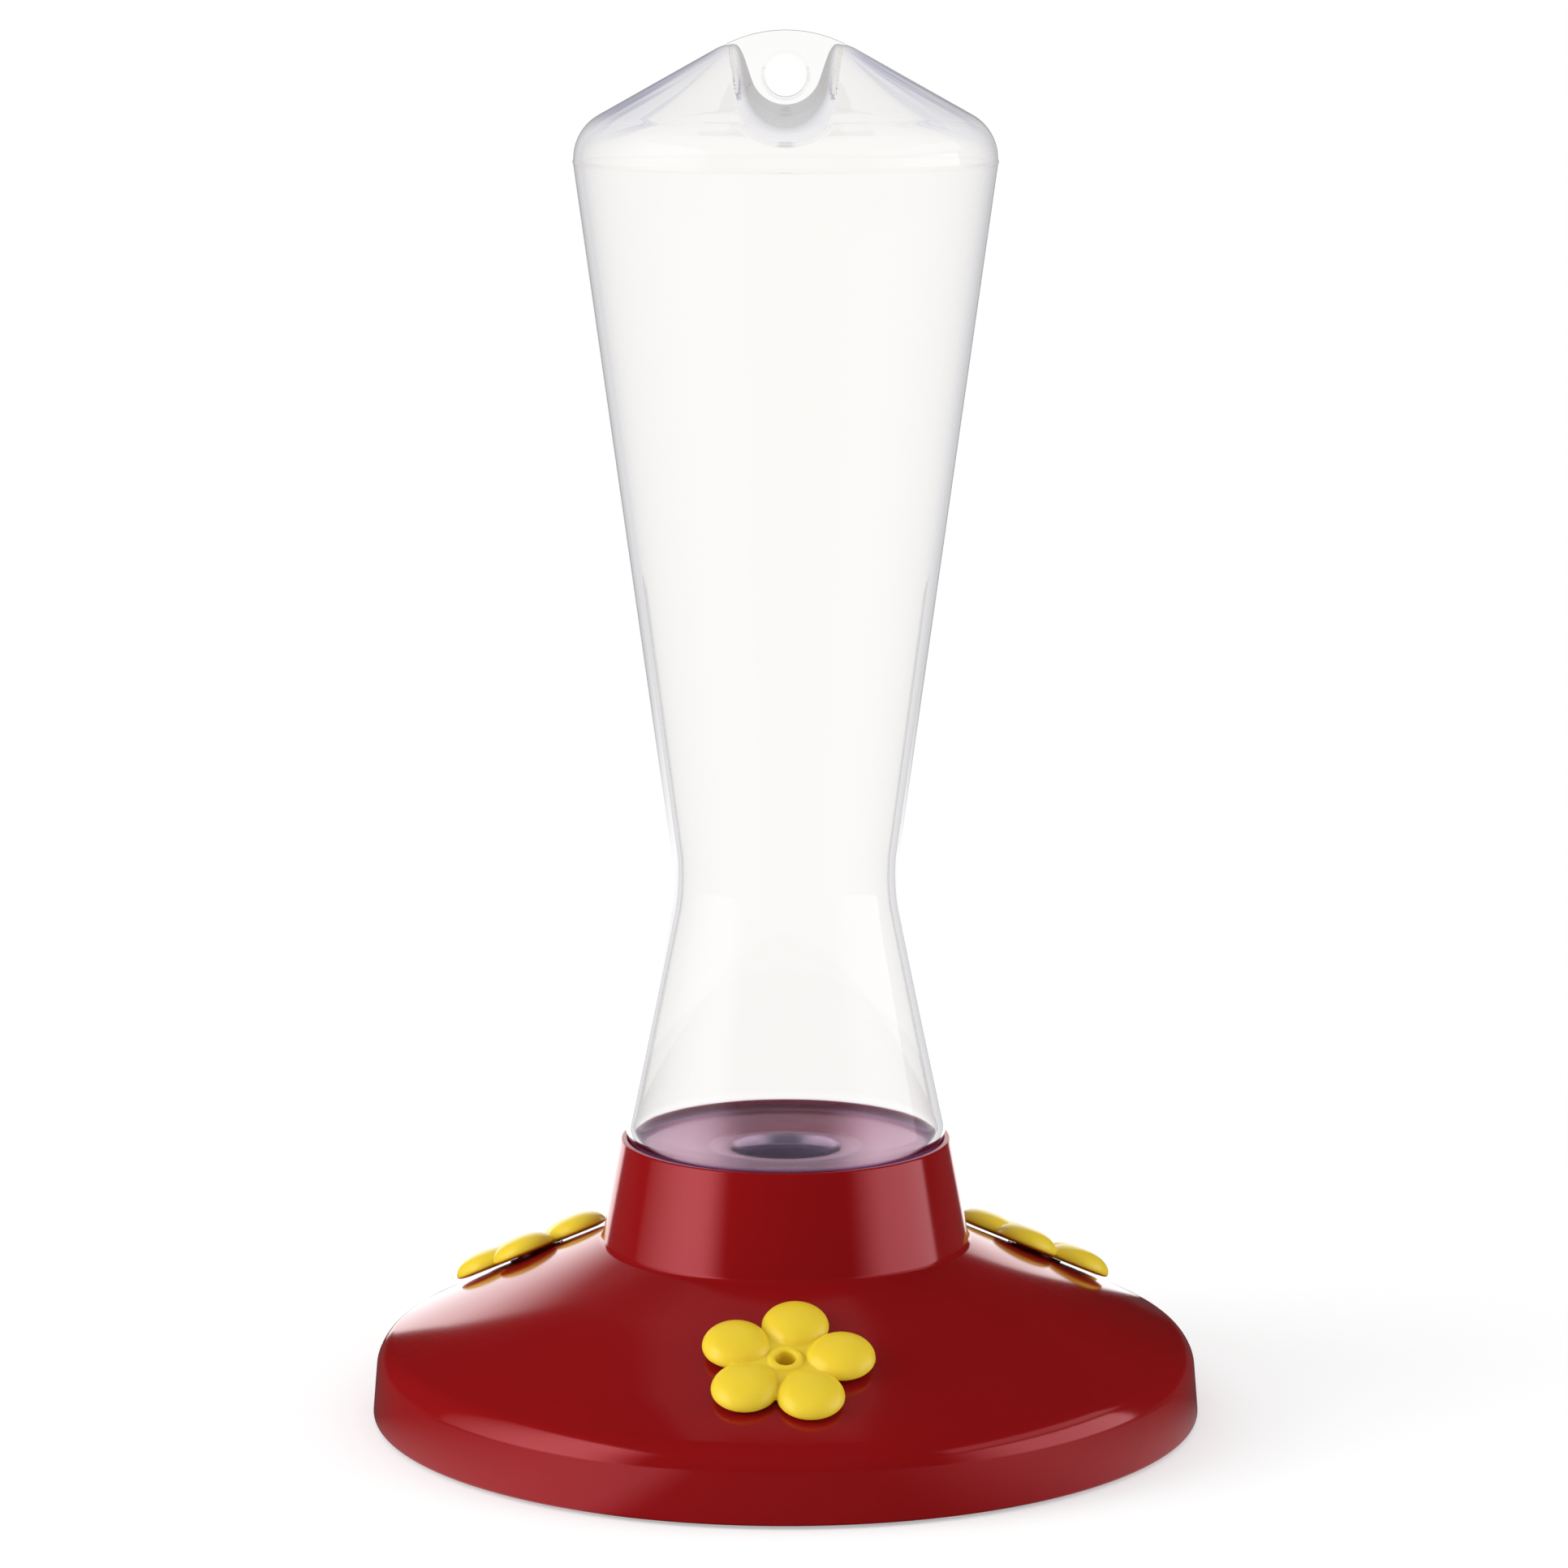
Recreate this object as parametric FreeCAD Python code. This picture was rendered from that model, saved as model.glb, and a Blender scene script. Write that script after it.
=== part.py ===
"""Hummingbird feeder: a clear pinch-waisted nectar bottle screwed neck down into a red two-part base.

The base is a domed cover over a shallow tray. Three yellow flowers snap into the cover as feeding ports.
Units are millimetres. The origin is on the table under the middle of the base, +Z is up, and -Y is the front.
"""

import FreeCAD, Part
import math
import os

V = FreeCAD.Vector
UP = V(0, 0, 1)
ORIGIN = V(0, 0, 0)
FULL_TURN = 360.0
TINY = 1e-6
EMBED = 0.2  # how far a joined feature reaches into the wall that carries it
OVERRUN = 2.0  # how far a cutting tool runs past the face that it cuts

# Base cover: skirt, shoulder and dome
SKIRT_RADIUS = 62.5  # outside, at the lower edge
SKIRT_LIFT = 0.5  # lower edge above the table
SKIRT_HEIGHT = 7.5
SKIRT_DRAFT = 4.8  # degrees that the skirt leans inwards
SHOULDER_RADIUS = 4.6
DOME_SLOPE = 25.3  # degrees below horizontal, going outwards
COVER_WALL = 1.6
EDGE_ROUND = 0.5

# Base cover: collar round the foot of the bottle
COLLAR_FOOT_RADIUS = 27.7
COLLAR_HEIGHT = 15.7
COLLAR_TOP_RADIUS = 24.75
COLLAR_WALL = 1.5
COLLAR_RIM_FLAT = 0.8
COLLAR_FOOT_ROUND = 1.2

# Bottle: blown walls
BOTTLE_WALL = 1.2
BOTTLE_SINK = 2.2  # bottle floor below the collar's rim
HEEL_RADIUS = 4.2
HEEL_GAP = 0.35  # between the bottle's heel and the collar's rim
FLOOR_SLOPE = 7.0  # degrees that the floor falls towards the neck
LOWER_FLARE = 11.9  # degrees, heel to waist
UPPER_FLARE = 7.8  # degrees, waist to shoulder
WAIST_RADIUS = 16.4  # where the two cones would meet
WAIST_ROUND = 26.0
TOP_RADIUS = 31.07
SEAM_RISE = 0.15
SEAM_HALF_HEIGHT = 0.4

# Bottle: roof and hanging tab
ROOF_SLOPE = 29.2  # degrees below horizontal, going outwards
ROOF_ROUND = 7.2
ROOF_SHOULDER_RISE = 4.7  # seam up to the corner that ROOF_ROUND rounds
CREST_DROP = 5.0  # from the cone's point down to the flat crest
CREST_ROUND = 3.0
TAB_THICKNESS = 3.0
TAB_RISE = 2.0  # middle of the tab's top above the crest
TAB_SIDE = 8.6  # half width where the tab's top meets the roof
HANG_HOLE_RADIUS = 3.1
HANG_HOLE_DEPTH = 6.55  # hole centre below the tab's top
HANG_HOLE_CHAMFER = 0.5
HOOK_RECESS_RADIUS = 5.2  # at the tab's face
HOOK_RECESS_MOUTH = 7.6  # the same radius at the mould's outer edge
HOOK_RECESS_BELOW_HOLE = 4.2
HOOK_RECESS_FALL = 3.0  # the recess floor, from the tab to the outer edge
HOOK_RECESS_FLARE = 3.2

# Bottle neck and its screw thread
NECK_RADIUS = 8.2
NECK_BORE = 6.4
NECK_LENGTH = 12.0
SEAL_FACE_RADIUS = 11.6
THREAD_PITCH = 3.5
THREAD_TURNS = 1.25
THREAD_DEPTH = 1.1
THREAD_ROOT_WIDTH = 2.2
THREAD_CREST_WIDTH = 1.0
THREAD_START_RISE = 2.0  # first turn above the mouth
THREAD_SLACK = 0.3  # radial, crest to root

# Neck gasket
GASKET_THICKNESS = 2.0
GASKET_NECK_GAP = 0.12
GASKET_RIM = 0.6  # how far the gasket stays inside the sealing face
GASKET_CHAMFER = 0.3
SEAL_GAP = 0.05

# Socket, drop tube and gussets inside the cover
SOCKET_WALL = 1.5
MOUTH_GAP = 0.6
DROP_TUBE_WALL = 1.6
OUTLET_GAP = 3.0  # drop tube's end above the tray floor
GUSSET_COUNT = 6
GUSSET_THICKNESS = 1.2
GUSSET_HEIGHT = 6.0

# Tray
TRAY_INSET = 4.1  # tray's wall inside the skirt's lower edge
TRAY_WALL = 1.6
TRAY_FLOOR = 1.6
FOOT_HEIGHT = 1.0
TRAY_RIM_GAP = 0.35  # rim below the cover's shoulder
TRAY_CORNER = 1.5
TRAY_RIB_COUNT = 6
TRAY_RIB_WIDTH = 1.2
TRAY_RIB_HEIGHT = 1.0
TRAY_RIB_INNER = 14.0
TRAY_RIB_END_GAP = 6.4  # rib's outer end inside the tray's wall
POST_COUNT = 4
POST_ANGLE = 36.0
POST_GAP = 0.3

# Locating ring inside the tray's rim
RING_GAP = 0.5
RING_WALL = 1.3
RING_REACH = 3.2  # below the tray's rim

# Bayonet between cover and tray
LUG_COUNT = 3
LUG_ANGLE = 22.0
LUG_DEPTH = 1.5
LUG_HEIGHT = 1.6
LUG_LIFT = 4.4  # underside of the tray's lugs above the table
LEDGE_EXTRA_ANGLE = 2.0
LEDGE_HEIGHT = 1.6
LEDGE_GAP = 0.3
STOP_ANGLE = 4.0
STOP_GAP_ANGLE = 1.0

# Flowers, one in each feeding port
FLOWER_AZIMUTHS = {"flower_front": 0.0, "flower_right": 120.0, "flower_left": 240.0}
FLOWER_TURNS = {"flower_front": -9.8, "flower_right": -29.0, "flower_left": 3.7}
PORT_SHARE = 0.5356  # ports' place on the dome, as a share of the way from the collar's foot to the shoulder
BOSS_RADIUS = 4.4
BOSS_HEIGHT = 0.25
STEM_RADIUS = 2.85
STEM_GAP = 0.2
STEM_AXIAL_GAP = 0.2
BARB_STEP = 0.6
BARB_LENGTH = 2.8
BARB_TIP_STEP = 0.35
SLIT_WIDTH = 0.6
SLIT_COUNT = 2
NECTAR_HOLE_RADIUS = 1.5
HUB_RADIUS = 7.8
HUB_THICKNESS = 1.2
EYE_RADIUS = 2.5
EYE_HEIGHT = 0.45
PETAL_COUNT = 5
PETAL_TIP = 13.0  # hub centre to the petal's outer end
PETAL_RADIUS = 4.9  # the petal's large round end
PETAL_HEEL_SHARE = 0.64  # radius of its small round end, as a share of the large one
PETAL_TAPER = 55.0  # degrees between the petal's middle line and its straight sides
PETAL_HEIGHT = 3.0
PETAL_CROWN = 12.0  # radius of the domed top
PETAL_ROUND_SHARE = 0.8  # rounding of the rim, as a share of the rim's height
PETAL_WALL = 1.1
FLOWER_SEAT_GAP = 0.05


def tan(degrees):
    return math.tan(math.radians(degrees))


def sin(degrees):
    return math.sin(math.radians(degrees))


def cos(degrees):
    return math.cos(math.radians(degrees))


def crossing(p, direction_p, q, direction_q):
    """Point where two lines in the half plane meet."""
    det = direction_p[0] * direction_q[1] - direction_p[1] * direction_q[0]
    step = ((q[0] - p[0]) * direction_q[1] - (q[1] - p[1]) * direction_q[0]) / det
    return (p[0] + step * direction_p[0], p[1] + step * direction_p[1])


def inset_line(points, wall):
    """An open run of (r, z, rounding) points moved by wall to the left of its travel, corners kept sharp."""
    moved = []
    for (r0, z0, _), (r1, z1, _) in zip(points, points[1:]):
        length = math.hypot(r1 - r0, z1 - z0)
        along = ((r1 - r0) / length, (z1 - z0) / length)
        start = (r0 - along[1] * wall, z0 + along[0] * wall)
        end = (r1 - along[1] * wall, z1 + along[0] * wall)
        moved.append((start, along, end))
    run = [(*moved[0][0], 0.0)]
    for before, after, corner in zip(moved, moved[1:], points[1:-1]):
        turn = before[1][0] * after[1][1] - before[1][1] * after[1][0]
        rounding = corner[2]
        if rounding:
            rounding += -wall if turn > 0 else wall
        run.append((*crossing(before[0], before[1], after[0], after[1]), max(rounding, 0.0)))
    run.append((*moved[-1][2], 0.0))
    return run


def rounded_edges(points, plane):
    """Closed run of lines and tangent arcs through (u, v, rounding) points; plane maps (u, v) to a vector."""
    count = len(points)
    starts, ends, arcs = [], [], []
    for i, (u, v, rounding) in enumerate(points):
        before, after = points[i - 1], points[(i + 1) % count]
        to_before = V(before[0] - u, before[1] - v, 0).normalize()
        to_after = V(after[0] - u, after[1] - v, 0).normalize()
        corner = V(u, v, 0)
        half = to_before.getAngle(to_after) / 2
        if rounding <= 0 or abs(half - math.pi / 2) < TINY:
            starts.append(corner)
            ends.append(corner)
            arcs.append(None)
            continue
        reach = rounding / math.tan(half)
        middle = (to_before + to_after).normalize()
        starts.append(corner + to_before * reach)
        ends.append(corner + to_after * reach)
        arcs.append(corner + middle * (rounding / math.sin(half) - rounding))
    edges = []
    for i in range(count):
        following = (i + 1) % count
        if arcs[i] is not None:
            edges.append(Part.Arc(plane(starts[i]), plane(arcs[i]), plane(ends[i])).toShape())
        if (starts[following] - ends[i]).Length > TINY:
            edges.append(Part.makeLine(plane(ends[i]), plane(starts[following])))
    return edges


def in_half_plane(p):
    return V(p.x, 0, p.y)


def turned(points):
    """Solid of revolution about Z from closed (r, z, rounding) points."""
    face = Part.Face(Part.Wire(rounded_edges(points, in_half_plane)))
    return face.revolve(ORIGIN, UP, FULL_TURN)


def ring_sector(inner, outer, low, high, start_angle, sweep):
    """Part of a ring about Z, from start_angle anticlockwise through sweep degrees."""
    points = [(inner, low, 0), (outer, low, 0), (outer, high, 0), (inner, high, 0)]
    face = Part.Face(Part.Wire(rounded_edges(points, in_half_plane)))
    sector = face.revolve(ORIGIN, UP, sweep)
    sector.rotate(ORIGIN, UP, start_angle)
    return sector


def around(shape, count, first_angle=0.0):
    """Copies of shape evenly spaced about Z."""
    copies = []
    for i in range(count):
        copy = shape.copy()
        copy.rotate(ORIGIN, UP, first_angle + i * FULL_TURN / count)
        copies.append(copy)
    return copies


def thread_ridge(root_radius, crest_radius, start_z, turns):
    """Right-hand screw ridge; it points inwards where crest_radius is the smaller."""
    away = 1 if crest_radius > root_radius else -1
    base = root_radius - away * EMBED
    flank = (THREAD_ROOT_WIDTH - THREAD_CREST_WIDTH) / 2 / abs(crest_radius - root_radius) * EMBED
    half_base = THREAD_ROOT_WIDTH / 2 + flank
    half_crest = THREAD_CREST_WIDTH / 2
    corners = [
        V(base, 0, start_z - half_base),
        V(crest_radius, 0, start_z - half_crest),
        V(crest_radius, 0, start_z + half_crest),
        V(base, 0, start_z + half_base),
    ]
    section = Part.makePolygon(corners + corners[:1])
    path = Part.Wire(Part.makeHelix(THREAD_PITCH, turns * THREAD_PITCH, root_radius).Edges)
    path.translate(V(0, 0, start_z))
    return path.makePipeShell([section], True, True)


# Heights and radii that more than one piece is seated on
skirt_top_radius = SKIRT_RADIUS - SKIRT_HEIGHT * tan(SKIRT_DRAFT)
skirt_top_z = SKIRT_LIFT + SKIRT_HEIGHT
shoulder_centre = (
    skirt_top_radius - SHOULDER_RADIUS * cos(SKIRT_DRAFT),
    skirt_top_z - SHOULDER_RADIUS * sin(SKIRT_DRAFT),
)
dome_start = (
    shoulder_centre[0] + SHOULDER_RADIUS * sin(DOME_SLOPE),
    shoulder_centre[1] + SHOULDER_RADIUS * cos(DOME_SLOPE),
)


def dome_z(radius):
    """Height of the dome's outer surface."""
    return dome_start[1] + (dome_start[0] - radius) * tan(DOME_SLOPE)


port_radius = COLLAR_FOOT_RADIUS + PORT_SHARE * (dome_start[0] - COLLAR_FOOT_RADIUS)


def skirt_inner_radius(z):
    return SKIRT_RADIUS - (z - SKIRT_LIFT) * tan(SKIRT_DRAFT) - COVER_WALL / cos(SKIRT_DRAFT)


def collar_inner_radius(z):
    return COLLAR_TOP_RADIUS - COLLAR_WALL + (collar_top_z - z) * collar_lean


collar_foot_z = dome_z(COLLAR_FOOT_RADIUS)
collar_top_z = collar_foot_z + COLLAR_HEIGHT
collar_lean = (COLLAR_FOOT_RADIUS - COLLAR_TOP_RADIUS) / COLLAR_HEIGHT

heel_z = collar_top_z - BOTTLE_SINK
heel_radius = COLLAR_TOP_RADIUS - COLLAR_RIM_FLAT - HEEL_GAP
heel_drop = HEEL_RADIUS - BOTTLE_SINK
heel_axis_radius = heel_radius - math.sqrt(HEEL_RADIUS**2 - heel_drop**2)
seal_face_z = heel_z - (heel_axis_radius - SEAL_FACE_RADIUS) * tan(FLOOR_SLOPE)
mouth_z = seal_face_z - NECK_LENGTH
deck_top_z = seal_face_z - GASKET_THICKNESS - 2 * SEAL_GAP
deck_low_z = deck_top_z - COVER_WALL
socket_bore = NECK_RADIUS + THREAD_DEPTH + THREAD_SLACK
socket_floor_z = mouth_z - MOUTH_GAP
socket_low_z = socket_floor_z - COVER_WALL
drop_tube_radius = NECK_BORE + DROP_TUBE_WALL

tray_radius = SKIRT_RADIUS - TRAY_INSET
tray_floor_z = FOOT_HEIGHT + TRAY_FLOOR
drop_tube_z = tray_floor_z + OUTLET_GAP
shoulder_inner_radius = SHOULDER_RADIUS - COVER_WALL
tray_rim_z = shoulder_centre[1] - TRAY_RIM_GAP + math.sqrt(
    shoulder_inner_radius**2 - (tray_radius - shoulder_centre[0]) ** 2
)


petal_heel_radius = PETAL_HEEL_SHARE * PETAL_RADIUS
petal_reach = PETAL_TIP - PETAL_RADIUS
petal_heel_reach = petal_reach - (PETAL_RADIUS - petal_heel_radius) / sin(PETAL_TAPER)
petal_middle = (PETAL_TIP + petal_heel_reach - petal_heel_radius) / 2
petal_half_length = PETAL_TIP - petal_middle
petal_rim_height = PETAL_HEIGHT - PETAL_CROWN + math.sqrt(PETAL_CROWN**2 - petal_half_length**2)
petal_round = PETAL_ROUND_SHARE * petal_rim_height


def bottle_outline():
    """Outer half outline of the bottle from the sealing face up to the flat crest, as (r, z, rounding)."""
    floor_line = (cos(FLOOR_SLOPE), sin(FLOOR_SLOPE))
    wall_line = (-sin(LOWER_FLARE), cos(LOWER_FLARE))
    # The heel's rounding touches both lines, so each line passes the rounding's centre at its radius
    centre = (heel_axis_radius, heel_z + HEEL_RADIUS)
    on_floor = (centre[0] + HEEL_RADIUS * floor_line[1], centre[1] - HEEL_RADIUS * floor_line[0])
    on_wall = (centre[0] + HEEL_RADIUS * wall_line[1], centre[1] - HEEL_RADIUS * wall_line[0])
    seal_edge = crossing(on_floor, floor_line, (SEAL_FACE_RADIUS, 0), (0, 1))
    heel = crossing(on_floor, floor_line, on_wall, wall_line)
    waist = crossing(on_wall, wall_line, (WAIST_RADIUS, 0), (0, 1))
    seam_z = waist[1] + (TOP_RADIUS - WAIST_RADIUS) / tan(UPPER_FLARE)
    shoulder_z = seam_z + ROOF_SHOULDER_RISE
    flat_z = shoulder_z + TOP_RADIUS * tan(ROOF_SLOPE) - CREST_DROP
    return [
        (*seal_edge, 0.0),
        (*heel, HEEL_RADIUS),
        (*waist, WAIST_ROUND),
        (TOP_RADIUS, seam_z, 0.0),
        (TOP_RADIUS, shoulder_z, ROOF_ROUND),
        (CREST_DROP / tan(ROOF_SLOPE), flat_z, CREST_ROUND),
        (0.0, flat_z, 0.0),
    ]


outline = bottle_outline()
bottle_seal_z = outline[0][1]
seam_z = outline[3][1]
crest_z = outline[5][1]
tab_top_z = crest_z + TAB_RISE
hang_hole_z = tab_top_z - HANG_HOLE_DEPTH


def hook_recess_wire(radius, floor_z, y, grow):
    """U outline in the plane at y: a round floor, straight sides and a mouth that flares out at the top."""
    r = radius + grow
    centre_z = floor_z + radius
    side_z = crest_z - HOOK_RECESS_FLARE
    flare_x = r + HOOK_RECESS_FLARE
    high_z = tab_top_z + OVERRUN
    reach = HOOK_RECESS_FLARE * (1 - cos(45))
    edges = [
        Part.Arc(V(-r, y, centre_z), V(0, y, centre_z - r), V(r, y, centre_z)).toShape(),
        Part.makeLine(V(r, y, centre_z), V(r, y, side_z)),
        Part.Arc(
            V(r, y, side_z), V(r + reach, y, side_z + HOOK_RECESS_FLARE * sin(45)), V(flare_x, y, crest_z)
        ).toShape(),
        Part.makeLine(V(flare_x, y, crest_z), V(flare_x, y, high_z)),
        Part.makeLine(V(flare_x, y, high_z), V(-flare_x, y, high_z)),
        Part.makeLine(V(-flare_x, y, high_z), V(-flare_x, y, crest_z)),
        Part.Arc(
            V(-flare_x, y, crest_z), V(-r - reach, y, side_z + HOOK_RECESS_FLARE * sin(45)), V(-r, y, side_z)
        ).toShape(),
        Part.makeLine(V(-r, y, side_z), V(-r, y, centre_z)),
    ]
    return Part.Wire(edges)


def hook_recess(side, grow=0.0, from_middle=False):
    """Drafted U-shaped recess in front of (side -1) or behind (side 1) the hanging tab."""
    floor_z = hang_hole_z - HOOK_RECESS_BELOW_HOLE
    near = 0.0 if from_middle else TAB_THICKNESS / 2
    inner = hook_recess_wire(HOOK_RECESS_RADIUS, floor_z, side * near, grow)
    outer = hook_recess_wire(
        HOOK_RECESS_MOUTH, floor_z - HOOK_RECESS_FALL, side * (TOP_RADIUS + OVERRUN), grow
    )
    return Part.makeLoft([inner, outer], True, True)


def hanging_tab():
    """Flat plate in the mould's parting plane with an arched top."""
    side_low_z = hang_hole_z - HOOK_RECESS_BELOW_HOLE
    half_y = TAB_THICKNESS / 2
    arch_z = crest_z
    edges = [
        Part.makeLine(V(-TAB_SIDE, -half_y, side_low_z), V(TAB_SIDE, -half_y, side_low_z)),
        Part.makeLine(V(TAB_SIDE, -half_y, side_low_z), V(TAB_SIDE, -half_y, arch_z)),
        Part.Arc(
            V(TAB_SIDE, -half_y, arch_z), V(0, -half_y, tab_top_z), V(-TAB_SIDE, -half_y, arch_z)
        ).toShape(),
        Part.makeLine(V(-TAB_SIDE, -half_y, arch_z), V(-TAB_SIDE, -half_y, side_low_z)),
    ]
    return Part.Face(Part.Wire(edges)).extrude(V(0, TAB_THICKNESS, 0))


def hang_hole():
    """Drilled hole along Y with a chamfer at both faces of the tab."""
    half_y = TAB_THICKNESS / 2
    centre = V(0, -half_y - OVERRUN, hang_hole_z)
    drill = Part.makeCylinder(HANG_HOLE_RADIUS, TAB_THICKNESS + 2 * OVERRUN, centre, V(0, 1, 0))
    wide = HANG_HOLE_RADIUS + HANG_HOLE_CHAMFER
    for side in (-1, 1):
        mouth = Part.makeCone(
            wide, HANG_HOLE_RADIUS, HANG_HOLE_CHAMFER, V(0, side * half_y, hang_hole_z), V(0, -side, 0)
        )
        drill = drill.fuse(mouth)
    return drill


def build_bottle():
    neck_end = [(0, mouth_z, 0), (NECK_RADIUS, mouth_z, EDGE_ROUND), (NECK_RADIUS, bottle_seal_z, 0)]
    seam = [
        (TOP_RADIUS, seam_z - SEAM_HALF_HEIGHT, 0),
        (TOP_RADIUS + SEAM_RISE, seam_z, 0),
        (TOP_RADIUS, seam_z + SEAM_HALF_HEIGHT, 0),
    ]
    walls = outline[:3] + seam + outline[4:]
    blank = turned(neck_end + walls).fuse(hanging_tab())

    inner = inset_line(outline, BOTTLE_WALL)
    inner_floor = crossing(inner[0][:2], (cos(FLOOR_SLOPE), sin(FLOOR_SLOPE)), (NECK_BORE, 0), (0, 1))
    bore = [(0, mouth_z - OVERRUN, 0), (NECK_BORE, mouth_z - OVERRUN, 0), (*inner_floor, BOTTLE_WALL)]
    cavity = turned(bore + inner[1:])
    for side in (-1, 1):
        cavity = cavity.cut(hook_recess(side, BOTTLE_WALL, from_middle=True))

    bottle = blank.cut(cavity)
    for side in (-1, 1):
        bottle = bottle.cut(hook_recess(side))
    bottle = bottle.cut(hang_hole())
    ridge = thread_ridge(NECK_RADIUS, NECK_RADIUS + THREAD_DEPTH, mouth_z + THREAD_START_RISE, THREAD_TURNS)
    return bottle.fuse(ridge)


def build_gasket():
    """Flat ring gripped by the neck, between the bottle's sealing face and the deck."""
    inner = NECK_RADIUS + GASKET_NECK_GAP
    outer = SEAL_FACE_RADIUS - GASKET_RIM
    low = deck_top_z + SEAL_GAP
    high = low + GASKET_THICKNESS
    chamfered = outer - GASKET_CHAMFER
    return turned(
        [
            (inner, low, 0),
            (chamfered, low, 0),
            (outer, low + GASKET_CHAMFER, 0),
            (outer, high - GASKET_CHAMFER, 0),
            (chamfered, high, 0),
            (inner, high, 0),
        ]
    )


def cover_shell():
    """Skirt, shoulder, dome, collar, deck, socket and drop tube, turned in one."""
    rim_inner = COLLAR_TOP_RADIUS - COLLAR_RIM_FLAT
    chamfer_z = collar_top_z - COLLAR_WALL + COLLAR_RIM_FLAT
    skirt_line = (-sin(SKIRT_DRAFT), cos(SKIRT_DRAFT))
    dome_line = (-cos(DOME_SLOPE), sin(DOME_SLOPE))
    shoulder = crossing((SKIRT_RADIUS, SKIRT_LIFT), skirt_line, dome_start, dome_line)
    outer_run = [
        (SKIRT_RADIUS, SKIRT_LIFT, 0),
        (*shoulder, SHOULDER_RADIUS),
        (COLLAR_FOOT_RADIUS, collar_foot_z, 0),
    ]
    inner_shoulder = inset_line(outer_run, COVER_WALL)[1]
    collar_inside = (collar_inner_radius(collar_foot_z), collar_foot_z)
    under_dome = crossing(inner_shoulder[:2], dome_line, collar_inside, (-collar_lean, 1))
    points = [
        (SKIRT_RADIUS, SKIRT_LIFT, EDGE_ROUND),
        (*shoulder, SHOULDER_RADIUS),
        (COLLAR_FOOT_RADIUS, collar_foot_z, COLLAR_FOOT_ROUND),
        (COLLAR_TOP_RADIUS, collar_top_z, COLLAR_RIM_FLAT / 3),
        (rim_inner, collar_top_z, 0),
        (collar_inner_radius(chamfer_z), chamfer_z, 0),
        (collar_inner_radius(deck_top_z), deck_top_z, EDGE_ROUND),
        (socket_bore, deck_top_z, 0),
        (socket_bore, socket_floor_z, 0),
        (NECK_BORE, socket_floor_z, 0),
        (NECK_BORE, drop_tube_z, 0),
        (drop_tube_radius, drop_tube_z, 0),
        (drop_tube_radius, socket_low_z, 0),
        (socket_bore + SOCKET_WALL, socket_low_z, 0),
        (socket_bore + SOCKET_WALL, deck_low_z, EDGE_ROUND),
        (collar_inner_radius(deck_low_z), deck_low_z, EDGE_ROUND),
        (*under_dome, COLLAR_FOOT_ROUND + COVER_WALL),
        (*inner_shoulder[:2], shoulder_inner_radius),
        (skirt_inner_radius(SKIRT_LIFT), SKIRT_LIFT, 0),
    ]
    return turned(points)


def locating_ring():
    """Ring under the dome that centres the cover inside the tray's wall."""
    outer = tray_radius - TRAY_WALL - RING_GAP
    inner = outer - RING_WALL
    low = tray_rim_z - RING_REACH
    under = COVER_WALL / cos(DOME_SLOPE) - EMBED
    points = [(inner, low, 0), (outer, low, 0), (outer, dome_z(outer) - under, 0), (inner, dome_z(inner) - under, 0)]
    return turned(points)


def gusset():
    """Upright web under the deck, between the socket and the collar."""
    inner = socket_bore + SOCKET_WALL - EMBED
    top_z = deck_low_z + EMBED
    side_z = deck_low_z - GUSSET_HEIGHT / 2
    half = GUSSET_THICKNESS / 2
    points = [
        V(inner, -half, top_z),
        V(inner, -half, deck_low_z - GUSSET_HEIGHT),
        V(collar_inner_radius(side_z) + EMBED, -half, side_z),
        V(collar_inner_radius(top_z) + EMBED, -half, top_z),
    ]
    face = Part.Face(Part.makePolygon(points + points[:1]))
    return face.extrude(V(0, GUSSET_THICKNESS, 0))


def bayonet_ledges():
    """Ledges inside the skirt that carry the tray's lugs, each with a stop at its end."""
    inner = tray_radius + LEDGE_GAP
    high = LUG_LIFT - LEDGE_GAP
    low = high - LEDGE_HEIGHT
    outer = skirt_inner_radius(low) + EMBED
    half = LUG_ANGLE / 2 + LEDGE_EXTRA_ANGLE
    ledge = ring_sector(inner, outer, low, high, -half, 2 * half)
    stop_top = high + LEDGE_GAP + LUG_HEIGHT
    stop_start = half
    stop = ring_sector(inner, skirt_inner_radius(stop_top) + EMBED, low, stop_top, stop_start, STOP_ANGLE)
    return around(ledge.fuse(stop), LUG_COUNT, FULL_TURN / LUG_COUNT / 2)


def flower_placement(name):
    """Local frame of a flower: origin on the dome, local Z square to it, local Y up the slope."""
    azimuth = FLOWER_AZIMUTHS[name]
    lean = FreeCAD.Rotation(V(1, 0, 0), DOME_SLOPE)
    spin = FreeCAD.Rotation(UP, azimuth)
    seat = V(0, -port_radius, dome_z(port_radius))
    return FreeCAD.Placement(spin.multVec(seat), spin.multiply(lean))


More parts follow.
